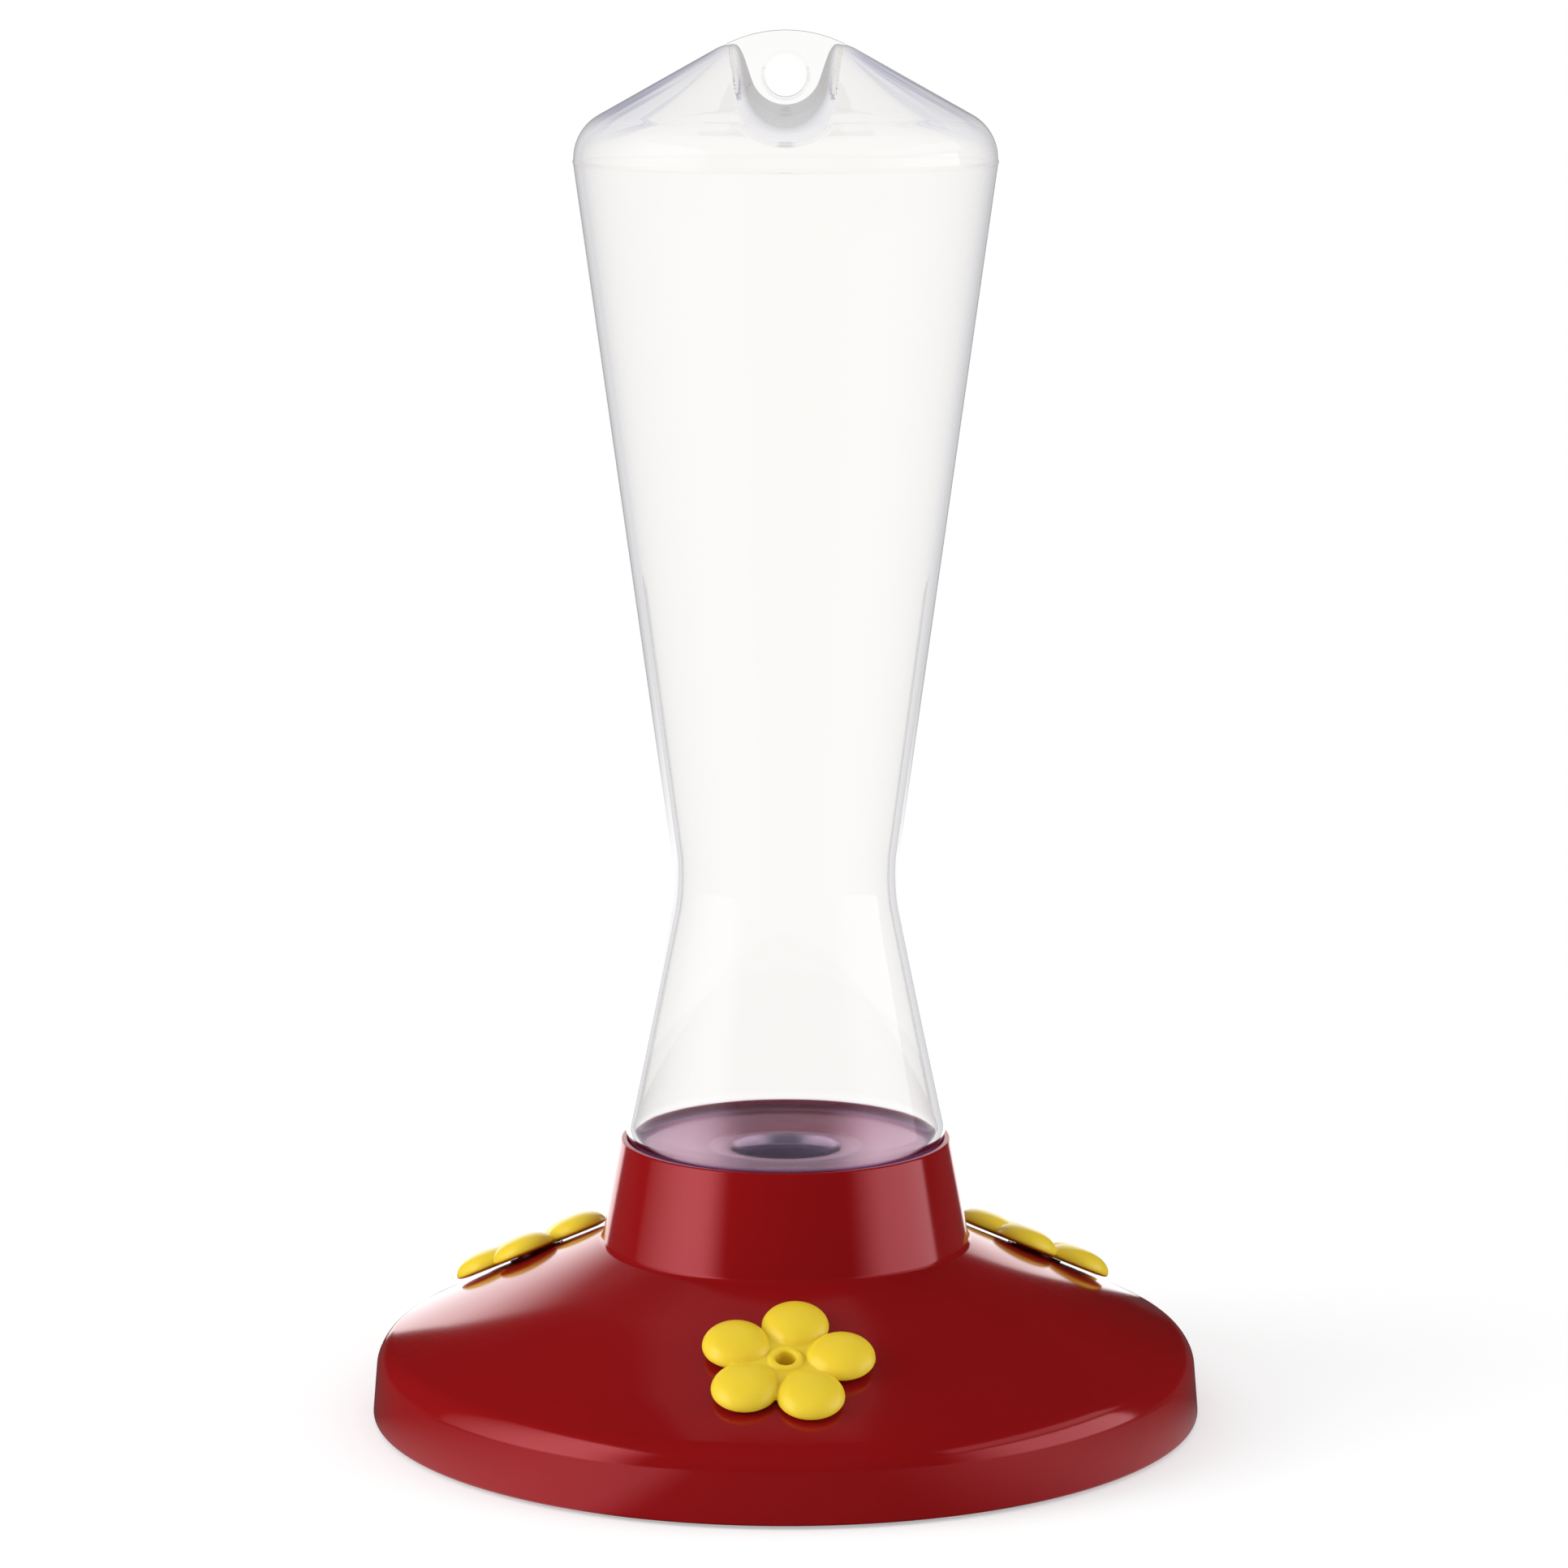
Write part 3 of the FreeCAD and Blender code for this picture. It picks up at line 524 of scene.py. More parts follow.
def painted_roof_streaks(tree, axes, across, shoulder_z):
    """Where painted streaks of shade run up the bottle's roof, beside the mould's parting line: dark
    surroundings seen through the thick roof.
    """
    aside = add(tree, "ShaderNodeMath", UNSIGNED, axes["Y"])
    angle = add(tree, "ShaderNodeMath", ANGLE, aside, across)
    # Noise stretched up the roof, for the painted streaks of shade
    drawn = add(
        tree, "ShaderNodeCombineXYZ", (),
        add(tree, "ShaderNodeMath", TIMES, angle, 9.0),
        add(tree, "ShaderNodeMath", TIMES, axes["Z"], 1 / (30 * MM)),
        add(tree, "ShaderNodeMath", TIMES, axes["X"], 1 / (25 * MM)),
    )
    streak_noise = add(tree, "ShaderNodeTexNoise", Vector=drawn, Scale=1.0, Detail=4.0)
    painted_streak = add(tree, "ShaderNodeMapRange", EASED, streak_noise, 0.4, 0.65)
    for value, none, full in (
        (axes["Z"], shoulder_z, shoulder_z + 4 * MM),
        (across, 8 * MM, 12 * MM),
        (angle, math.radians(42), math.radians(14)),
    ):
        limit = add(tree, "ShaderNodeMapRange", EASED, value, none, full)
        painted_streak = add(tree, "ShaderNodeMath", TIMES, painted_streak, limit)
    return painted_streak


def bottle_tint(tree, axes, across, off_axis, in_floor):
    """Colour of the clear plastic, with painted shade: dark streaks in the roof, a violet line at its heel
    and dimness in the neck; and violet in the floor.
    """
    finish, low = bpy.context.scene.feeder_finish, bottle_heights()
    seal_z = low["seal_z"]
    streaks = painted_roof_streaks(tree, axes, across, low["shoulder_z"])
    # Painted shade: the roof's streaks tint it lavender, for dark surroundings seen through it
    body = add(
        tree, "ShaderNodeMix", COLOURS, Factor=streaks, A=(0.99, 0.985, 0.975, 1), B=linear(finish.clear)
    )
    # Painted shade: below the seal the neck's tint is dimmed grey-violet, for its shadowed inside; above it
    # the floor keeps its own tint
    above_neck = add(tree, "ShaderNodeMapRange", EASED, axes["Z"], seal_z - 1.5 * MM, seal_z - 0.5 * MM)
    foot = add(
        tree, "ShaderNodeMix", COLOURS, Factor=above_neck, A=(0.75, 0.72, 0.8, 1), B=linear(finish.floor)
    )
    lower = add(tree, "ShaderNodeMix", COLOURS, Factor=in_floor, A=body, B=foot)
    # Painted shade: the dark of the collar's inside, seen through the heel, painted as a violet line in the
    # tint
    low_down = add(tree, "ShaderNodeMapRange", EASED, axes["Z"], seal_z + 3.9 * MM, seal_z + 3.3 * MM)
    far_out = add(tree, "ShaderNodeMapRange", EASED, off_axis, 20.5 * MM, 22 * MM)
    heel = add(tree, "ShaderNodeMath", TIMES, low_down, far_out)
    return add(tree, "ShaderNodeMix", COLOURS, Factor=heel, A=lower, B=linear(finish.heel))


def floor_haze_and_painted_shade(tree, wall, in_floor, across, off_axis):
    """The wall's shader with haze in the bottle's floor, its pink partly painted red light of the deck, and
    painted shade in its neck.
    """
    finish = bpy.context.scene.feeder_finish
    beside_neck = add(tree, "ShaderNodeMapRange", EASED, off_axis, 5.8 * MM, 9 * MM)
    # The haze grows from the middle out to both sides along x
    thick = add(tree, "ShaderNodeMapRange", EASED, across, 5 * MM, 15 * MM, 0.03, 0.26)
    milky = add(tree, "ShaderNodeMath", TIMES, in_floor, beside_neck)
    milky = add(tree, "ShaderNodeMath", TIMES, milky, thick)
    # Partly painted light: the haze's pink stands for the red deck seen through the floor
    haze_and_deck_red = add(tree, "ShaderNodeBsdfDiffuse", Color=linear(finish.haze_and_deck_red))
    hazy = add(tree, "ShaderNodeMixShader", (), milky, wall, haze_and_deck_red)
    # Painted shade: a dark diffuse covers the neck, whose inside lies in shadow
    in_neck = add(tree, "ShaderNodeMath", LESS, in_floor, beside_neck)
    in_neck = add(tree, "ShaderNodeMath", LARGER, in_neck, 0.0)
    neck_shade_share = add(tree, "ShaderNodeMath", TIMES, in_neck, 0.85)
    painted_neck_shade = add(tree, "ShaderNodeBsdfDiffuse", Color=linear(finish.neck))
    return add(tree, "ShaderNodeMixShader", (), neck_shade_share, hazy, painted_neck_shade)


def blown_clear():
    """Extrusion-blown PET: clear and faintly warm, with painted lavender streaks of shade in its roof and a
    hazy violet floor whose pink is partly painted red light of the deck.
    """
    material, tree = new_material("Blown PET clear")
    seal_z = bottle_heights()["seal_z"]
    place = add(tree, "ShaderNodeTexCoord").outputs["Object"]
    axes = add(tree, "ShaderNodeSeparateXYZ", Vector=place).outputs
    across = add(tree, "ShaderNodeMath", UNSIGNED, axes["X"])
    level = add(tree, "ShaderNodeCombineXYZ", (), axes["X"], axes["Y"])
    off_axis = add(tree, "ShaderNodeVectorMath", LENGTH, level).outputs["Value"]
    in_floor = add(tree, "ShaderNodeMapRange", EASED, axes["Z"], seal_z + 3 * MM, seal_z + 2 * MM)
    tint = bottle_tint(tree, axes, across, off_axis, in_floor)
    stretch = add(tree, "ShaderNodeMapping", Vector=place, Scale=(1.0, 1.0, 0.25))
    wave = add(tree, "ShaderNodeTexNoise", Vector=stretch, Scale=1 / (14 * MM), Detail=2.0)
    glass = add(
        tree, "ShaderNodeBsdfPrincipled",
        Base_Color=tint,
        Roughness=add(tree, "ShaderNodeMapRange", EASED, in_floor, 0.0, 1.0, 0.02, 0.2),
        Normal=add(tree, "ShaderNodeBump", Height=wave, Strength=0.12, Distance=0.3 * MM),
        IOR=1.45, Transmission_Weight=1.0, Specular_Tint=(0.4, 0.4, 0.42, 1.0),
    )
    # Hardly any light is lost to shadow, and light that is led along inside the wall gets out again
    clear = add(tree, "ShaderNodeBsdfTransparent", Color=tint)
    rays = add(tree, "ShaderNodeLightPath").outputs
    led = add(tree, "ShaderNodeMath", OVER, rays["Glossy Depth"], 0.5)
    straight = add(tree, "ShaderNodeMath", LARGER, rays["Is Shadow Ray"], led)
    wall = add(tree, "ShaderNodeMixShader", (), straight, glass, clear)
    add(tree, "ShaderNodeOutputMaterial", Surface=floor_haze_and_painted_shade(tree, wall, in_floor, across, off_axis))
    return material


def silicone():
    """Cast silicone rubber: milky and faintly glossy, and thin enough for the red below to show through."""
    material, tree = new_material("Cast silicone natural")
    place = add(tree, "ShaderNodeTexCoord").outputs["Object"]
    speck = add(tree, "ShaderNodeTexNoise", Vector=place, Scale=1 / (2 * MM), Detail=3.0)
    rubber = add(
        tree, "ShaderNodeBsdfPrincipled",
        Base_Color=linear(bpy.context.scene.feeder_finish.seal),
        Roughness=add(tree, "ShaderNodeMapRange", Value=speck, To_Min=0.35, To_Max=0.5),
        IOR=1.41, Subsurface_Weight=0.3, Subsurface_Scale=1.5 * MM,
    )
    through = add(tree, "ShaderNodeBsdfTransparent", Color=(0.95, 0.9, 0.9, 1))
    add(tree, "ShaderNodeOutputMaterial", Surface=add(tree, "ShaderNodeMixShader", (), 0.65, rubber, through))
    return material


MADE = {}


def shared_material(make):
    """The material that a maker function gives, made once."""
    if make.__name__ not in MADE:
        MADE[make.__name__] = make()
    return MADE[make.__name__]


# Pieces


class FEEDER_OT_cover(bpy.types.Operator):
    """Turn and finish the domed base cover with its collar, socket and ports"""

    bl_idname = "feeder.cover"
    bl_label = "Base cover"

    thread_room = 1.4 * MM  # between the neck and the socket, for the two threads
    socket_wall = 1.5 * MM
    port_seat = 7 * MM  # of dome above and below a port's middle

    def execute(self, context):
        b = context.scene.feeder_base
        cover = turn("base_cover_moulding", self.section(b), b.segments, steps=8)
        boss_radius, boss_foot, boss_top = 4.4 * MM, (0, 0, -0.8 * MM), (0, 0, b.boss_height)
        stem_hole, drill_end, drill_start = 3.05 * MM, (0, 0, -6 * MM), (0, 0, 4 * MM)
        ports = [port_matrix(azimuth) for _, azimuth, _ in FLOWERS.values()]
        for port in ports:
            cut(cover, rod("boss", boss_radius, port @ Vector(boss_foot), port @ Vector(boss_top)), "UNION")
        for port in ports:
            cut(cover, rod("hole", stem_hole, port @ Vector(drill_end), port @ Vector(drill_start)))
        join(cover, *self.inside(b))
        smooth(cover)
        dress(cover, shared_material(moulded_red))
        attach(cover, "cover")
        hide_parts("base_cover")
        return {"FINISHED"}

    def section(self, b):
        """Half section, up the outside, over the collar's rim, across the deck and back under the dome."""
        lines, heights = base_lines(), bottle_heights()
        bottle = bpy.context.scene.feeder_bottle
        rim_z = lines["rim_z"]
        lip = 0.8 * MM
        chamfer_z = rim_z - b.collar_wall + lip
        socket_bore = bottle.neck_radius + self.thread_room
        socket_outside = socket_bore + self.socket_wall
        socket_floor = heights["mouth_z"] - 0.6 * MM
        socket_low = socket_floor - b.wall
        deck_top = heights["deck_z"]
        deck_low = deck_top - b.wall
        tube_end, tube_outside = 5.6 * MM, bottle.neck_bore + 1.6 * MM
        port_low, port_high = port_radius() + self.port_seat, port_radius() - self.port_seat
        return [
            (b.skirt_radius, b.skirt_lift, 0.5 * MM),
            (*lines["corner"], b.shoulder_radius),
            (port_low, dome_height(port_low), 0),
            (port_high, dome_height(port_high), 0),
            (b.collar_foot_radius, lines["foot_z"], 1.2 * MM),
            (b.collar_top_radius, rim_z, 0.3 * MM),
            (b.collar_top_radius - lip, rim_z, 0.1 * MM),
            (collar_inside(chamfer_z), chamfer_z, 0),
            (collar_inside(deck_top), deck_top, 0.5 * MM),
            (socket_bore, deck_top, 0.2 * MM),
            (socket_bore, socket_floor, 0),
            (bottle.neck_bore, socket_floor, 0.2 * MM),
            (bottle.neck_bore, tube_end, 0),
            (tube_outside, tube_end, 0.3 * MM),
            (tube_outside, socket_low, 0),
            (socket_outside, socket_low, 0),
            (socket_outside, deck_low, 0.5 * MM),
            (collar_inside(deck_low), deck_low, 0.5 * MM),
            (*lines["under_dome"], 2.8 * MM),
            (*lines["inner_corner"], b.shoulder_radius - b.wall),
            (*lines["skirt_inside"], 0),
        ]

    def inside(self, b):
        """Gussets under the deck, the ring that centres the tray, the bayonet ledges and the inner thread."""
        bottle, heights = bpy.context.scene.feeder_bottle, bottle_heights()
        socket_bore = bottle.neck_radius + self.thread_room
        deck_low = heights["deck_z"] - b.wall
        embed, half_gusset, gusset_depth = 0.2 * MM, 0.6 * MM, 3 * MM
        gusset = block(
            "gusset",
            (socket_bore + self.socket_wall - embed, -half_gusset, deck_low - gusset_depth),
            (collar_inside(deck_low), half_gusset, deck_low + embed),
        )
        # It is twice as deep at the socket, and its outer end follows the collar's lean
        for vertex in gusset.data.vertices:
            if vertex.co.z < deck_low:
                at_socket = vertex.co.x < 2 * socket_bore
                vertex.co.z -= gusset_depth if at_socket else 0
                vertex.co.x += 0 if at_socket else embed + gusset_depth * base_lines()["lean"]
        tray_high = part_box("nectar_tray")[1].z
        ring_outer, ring_inner, ring_reach = 56.3 * MM, 55.0 * MM, 3.2 * MM
        ring_low = tray_high - ring_reach
        ring = turn(
            "ring",
            [
                (ring_inner, ring_low, 0),
                (ring_outer, ring_low, 0),
                (ring_outer, dome_height(ring_outer) - b.wall, 0),
                (ring_inner, dome_height(ring_inner) - b.wall, 0),
            ],
            b.segments,
        )
        skirt_inside = base_lines()["skirt_inside"][0]
        ledge_inner, ledge_low, ledge_high, stop_high = 58.7 * MM, 2.5 * MM, 4.1 * MM, 6.0 * MM
        ledge_outer, stop_outer = skirt_inside - 0.2 * MM, skirt_inside - 0.3 * MM
        ledge_sweep, stop_sweep = 26, 4
        ledge = ring_block(
            "ledge", ledge_inner, ledge_outer, ledge_low, ledge_high, -ledge_sweep / 2, ledge_sweep
        )
        stop = ring_block("stop", ledge_inner, stop_outer, ledge_low, stop_high, ledge_sweep / 2, stop_sweep)
        ledges = copies_round(join(ledge, stop), 3, 60)
        start_z = heights["mouth_z"] + 3.75 * MM
        thread = screw_ridge("thread_inner", socket_bore, bottle.neck_radius + 0.3 * MM, start_z)
        return [copies_round(gusset, 6), ring, ledges, thread]


def screw_ridge(name, root, crest, start_z, pitch=3.5 * MM, turns=1.25):
    """Right-hand ridge of trapezoid section, drawn by extruding its end plate round the axis and up."""
    deselect()
    inward = -1 if crest < root else 1
    bpy.ops.mesh.primitive_plane_add(size=1, rotation=(math.pi / 2, 0, 0))
    obj = newest(name)
    base = root - inward * 0.2 * MM
    section = sorted(obj.data.vertices, key=lambda v: (v.co.x, v.co.z))
    for vertex, (r, dz) in zip(section, [(base, -1.2), (base, 1.2), (crest, -0.5), (crest, 0.5)]):
        vertex.co = (r, 0, start_z + dz * MM)
    steps = int(turns * 72)
    step_angle = math.tau * turns / steps
    bpy.ops.object.mode_set(mode="EDIT")
    bpy.ops.mesh.select_all(action="SELECT")
    for _ in range(steps):
        bpy.ops.mesh.extrude_region_move(TRANSFORM_OT_translate={"value": (0, 0, pitch * turns / steps)})
        swing = Matrix.Rotation(step_angle, 4, "Z")
        mesh = bmesh.from_edit_mesh(obj.data)
        for vertex in mesh.verts:
            if vertex.select:
                vertex.co = swing @ vertex.co
        bmesh.update_edit_mesh(obj.data)
    bpy.ops.mesh.select_all(action="SELECT")
    bpy.ops.mesh.normals_make_consistent(inside=False)
    bpy.ops.object.mode_set(mode="OBJECT")
    return obj


def bottle_heights():
    """Heights and radii of the bottle, stacked up from the collar's rim."""
    b, s = bpy.context.scene.feeder_base, bpy.context.scene.feeder_bottle
    floor_slope, lower_flare, upper_flare = 7.0, 11.9, 7.8
    gap_in_collar, neck_length, seal_room, seam_to_shoulder = 1.15 * MM, 12.0 * MM, 2.1 * MM, 4.7 * MM
    rim_z = base_lines()["rim_z"]
    heel_z = rim_z - s.sink
    heel_r = b.collar_top_radius - gap_in_collar
    axis_r = heel_r - math.sqrt(s.heel_radius**2 - (s.heel_radius - s.sink) ** 2)
    centre_z = heel_z + s.heel_radius
    floor_r, floor_z = axis_r + s.heel_radius * sin(floor_slope), centre_z - s.heel_radius * cos(floor_slope)
    wall_r, wall_z = axis_r + s.heel_radius * cos(lower_flare), centre_z + s.heel_radius * sin(lower_flare)
    seal_r = 11.6 * MM
    seal_z = floor_z - (floor_r - seal_r) * tan(floor_slope)
    in_slope, up_slope = tan(lower_flare), tan(floor_slope)
    corner_r = (wall_r + (wall_z - floor_z + floor_r * up_slope) * in_slope) / (1 + in_slope * up_slope)
    corner_z = floor_z + (corner_r - floor_r) * up_slope
    waist_z = wall_z + (wall_r - s.waist_radius) / in_slope
    seam_z = waist_z + (s.top_radius - s.waist_radius) / tan(upper_flare)
    face_z = heel_z - (axis_r - seal_r) * up_slope
    mouth_z = face_z - neck_length
    return {
        "deck_z": face_z - seal_room,
        "seal_r": seal_r, "seal_z": seal_z, "mouth_z": mouth_z, "heel": (corner_r, corner_z),
        "waist_z": waist_z, "seam_z": seam_z, "shoulder_z": seam_z + seam_to_shoulder,
    }


def ease(t):
    """Smooth step from 0 to 1."""
    t = min(max(t, 0.0), 1.0)
    return t * t * (3 - 2 * t)


def soft_min(a, b, soft):
    """The lower of two heights, blended over a width where they cross."""
    blend = max(soft - abs(a - b), 0.0) / soft
    return min(a, b) - blend * blend * soft / 4


class Roof:
    """Height of the bottle's roof over the point below it: a cone, its flat crest and two hook recesses."""

    cone_slope = 29.2
    round_radius = 7.2 * MM
    crest_drop = 5.0 * MM
    tab_rise = 2.0 * MM
    tab_side = 8.6 * MM
    hole_drop = 6.55 * MM
    recess_radius = 5.2 * MM
    recess_mouth = 7.6 * MM
    recess_below_hole = 4.2 * MM
    recess_fall = 3.0 * MM
    recess_side_slope = 3.0
    lip_soft = 2.4 * MM

    def __init__(self, sizes, heights):
        self.radius = sizes.top_radius
        self.seam_z = heights["seam_z"]
        self.shoulder_z = heights["shoulder_z"]
        self.half_tab = sizes.tab_thickness / 2
        self.point_z = self.shoulder_z + self.radius * tan(self.cone_slope)
        self.crest_z = self.point_z - self.crest_drop
        self.tab_top = self.crest_z + self.tab_rise
        self.hole_z = self.tab_top - self.hole_drop

    def rings(self, arc_steps, cone_steps):
        """(radius, height) of the rings from the upright wall over the shoulder and up the cone."""
        turn_angle = 90 - self.cone_slope
        tangent = self.round_radius * math.tan(math.radians(turn_angle / 2))
        low_z = self.shoulder_z - tangent
        centre = (self.radius - self.round_radius, low_z)
        rings = []
        for i in range(arc_steps + 1):
            angle = turn_angle * i / arc_steps
            out, up = self.round_radius * cos(angle), self.round_radius * sin(angle)
            rings.append((centre[0] + out, centre[1] + up))
        last_r, _ = rings[-1]
        for i in range(1, cone_steps + 1):
            r = last_r * (1 - i / cone_steps)
            rings.append((r, self.point_z - r * tan(self.cone_slope)))
        return rings

    def recess(self, x, y):
        """Height of the hook recess's surface, a U that grows wider and lower away from the tab."""
        along = min(max((abs(y) - self.half_tab) / (self.radius - self.half_tab), 0.0), 1.0)
        radius = self.recess_radius + (self.recess_mouth - self.recess_radius) * along
        floor_z = self.hole_z - self.recess_below_hole - self.recess_fall * along
        # The round bottom runs on as a straight drafted side where it has become steep enough
        turn_x = radius * self.recess_side_slope / math.hypot(1, self.recess_side_slope)
        side = abs(x)
        if side < turn_x:
            return floor_z + radius - math.sqrt(radius**2 - side**2)
        return floor_z + radius - math.sqrt(radius**2 - turn_x**2) + (side - turn_x) * self.recess_side_slope

    def height(self, x, y, cone_z):
        z = soft_min(cone_z, self.crest_z, 0.8 * MM)
        return soft_min(z, self.recess(x, y), self.lip_soft)


class FEEDER_OT_bottle(bpy.types.Operator):
    """Model the blown bottle with its thread, roof, hook recesses and hanging tab"""

    bl_idname = "feeder.bottle"
    bl_label = "Nectar bottle"

    def execute(self, context):
        s = context.scene.feeder_bottle
        heights = bottle_heights()
        roof = Roof(s, heights)
        bottle = self.skin(s, heights, roof)
        self.give_wall(bottle, s, heights)
        cut(bottle, self.tab(s, roof), "UNION")
        crest, start_z = s.neck_radius + 1.1 * MM, heights["mouth_z"] + 2 * MM
        ridge = screw_ridge("thread_outer", s.neck_radius, crest, start_z)
        cut(bottle, ridge, "UNION")
        smooth(bottle, 40)
        dress(bottle, shared_material(blown_clear))
        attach(bottle, "bottle")
        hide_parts("bottle")
        return {"FINISHED"}

    def skin(self, s, heights, roof):
        """Outer skin from the mouth to the top, one ring at a time, with the roof pressed into shape."""
        seam_z = heights["seam_z"]
        outline = [
            (s.neck_radius, heights["mouth_z"], 0),
            (s.neck_radius, heights["seal_z"], 0.4 * MM),
            (heights["seal_r"], heights["seal_z"], 0.6 * MM),
            (*heights["heel"], s.heel_radius),
            (s.waist_radius, heights["waist_z"], 26 * MM),
            (s.top_radius, seam_z - 0.4 * MM, 0),
            (s.top_radius + 0.15 * MM, seam_z, 0.1 * MM),
            (s.top_radius, seam_z + 0.4 * MM, 0),
        ]
        rings = roof.rings(arc_steps=14, cone_steps=90)
        roof_outline = [(r, z, 0) for r, z in rings[:-1]]
        bottle = turn("nectar_bottle_blown", outline + roof_outline, s.segments, steps=14, closed=False)
        bpy.ops.object.mode_set(mode="EDIT")
        select_in_mesh("edges", on_ring(*rings[-2]))
        bpy.ops.mesh.edge_face_add()
        bpy.ops.mesh.poke()
        bpy.ops.mesh.select_all(action="SELECT")
        bpy.ops.mesh.normals_make_consistent(inside=False)
        bpy.ops.object.mode_set(mode="OBJECT")
        for vertex in bottle.data.vertices:
            x, y, z = vertex.co
            if z > seam_z + 0.3 * MM:
                vertex.co.z = roof.height(x, y, z)
        return bottle

    def give_wall(self, bottle, s, heights):
        """Wall inwards: thicker in the neck, and where the mould pinched the roof along its parting line."""
        thickest = 1.8 * MM
        walls = bottle.vertex_groups.new(name="wall")
        for vertex in bottle.data.vertices:
            x, y, z = vertex.co
            if z < heights["seal_z"] + 0.05 * MM:
                wall = s.neck_radius - s.neck_bore
            else:
                on_roof = ease((z - heights["shoulder_z"] + 3 * MM) / (7 * MM))
                beside_tab = ease((abs(x) - 9 * MM) / (9 * MM))
                near_parting = 1 - ease((math.degrees(math.atan2(abs(y), abs(x))) - 12) / 36)
                wall = s.wall + (thickest - s.wall) * on_roof * beside_tab * near_parting
            walls.add([vertex.index], wall / thickest, "REPLACE")
        apply_modifier(
            bottle, "SOLIDIFY", thickness=thickest, offset=-1.0, use_even_offset=True, use_rim=True,
            vertex_group="wall",
        )
        bottle.vertex_groups.clear()

    def tab(self, s, roof):
        """Flat hanging tab: an arched top, a foot sunk halfway into the recess floor, and a drilled hole."""
        columns = 48
        sink = s.wall / 2
        arch = (roof.tab_side**2 + roof.tab_rise**2) / (2 * roof.tab_rise)
        deselect()
        upright = (math.pi / 2, 0, 0)
        bpy.ops.mesh.primitive_grid_add(x_subdivisions=columns, y_subdivisions=1, size=1, rotation=upright)
        tab = newest("tab")
        step = 0.02 * MM
        for vertex in tab.data.vertices:
            x = vertex.co.x * 2 * roof.tab_side
            if vertex.co.z > 0:
                z = roof.tab_top - arch + math.sqrt(arch**2 - x**2)
            else:
                beside = (x - step, x + step)
                low = [roof.height(px, 0, roof.point_z - abs(px) * tan(roof.cone_slope)) for px in beside]
                slope = (low[1] - low[0]) / (2 * step)
                z = sum(low) / 2 - sink * math.hypot(1, slope)
            vertex.co = (x, s.tab_thickness / 2, z)
        bpy.ops.object.mode_set(mode="EDIT")
        bpy.ops.mesh.select_all(action="SELECT")
        bpy.ops.mesh.extrude_region_move(TRANSFORM_OT_translate={"value": (0, -s.tab_thickness, 0)})
        bpy.ops.mesh.select_all(action="SELECT")
        bpy.ops.mesh.normals_make_consistent(inside=False)
        bpy.ops.object.mode_set(mode="OBJECT")
        hole_z, face_y, edge = roof.hole_z, s.tab_thickness / 2, 0.5 * MM
        wide = s.hole_radius + 2 * edge
        cut(tab, rod("hole", s.hole_radius, (0, -5 * MM, hole_z), (0, 5 * MM, hole_z), segments=96))
        for side in (-1, 1):
            start, end = (0, side * (face_y + edge), hole_z), (0, side * (face_y - edge), hole_z)
            cut(tab, rod("mouth", wide, start, end, segments=96, end_radius=s.hole_radius))
        return tab


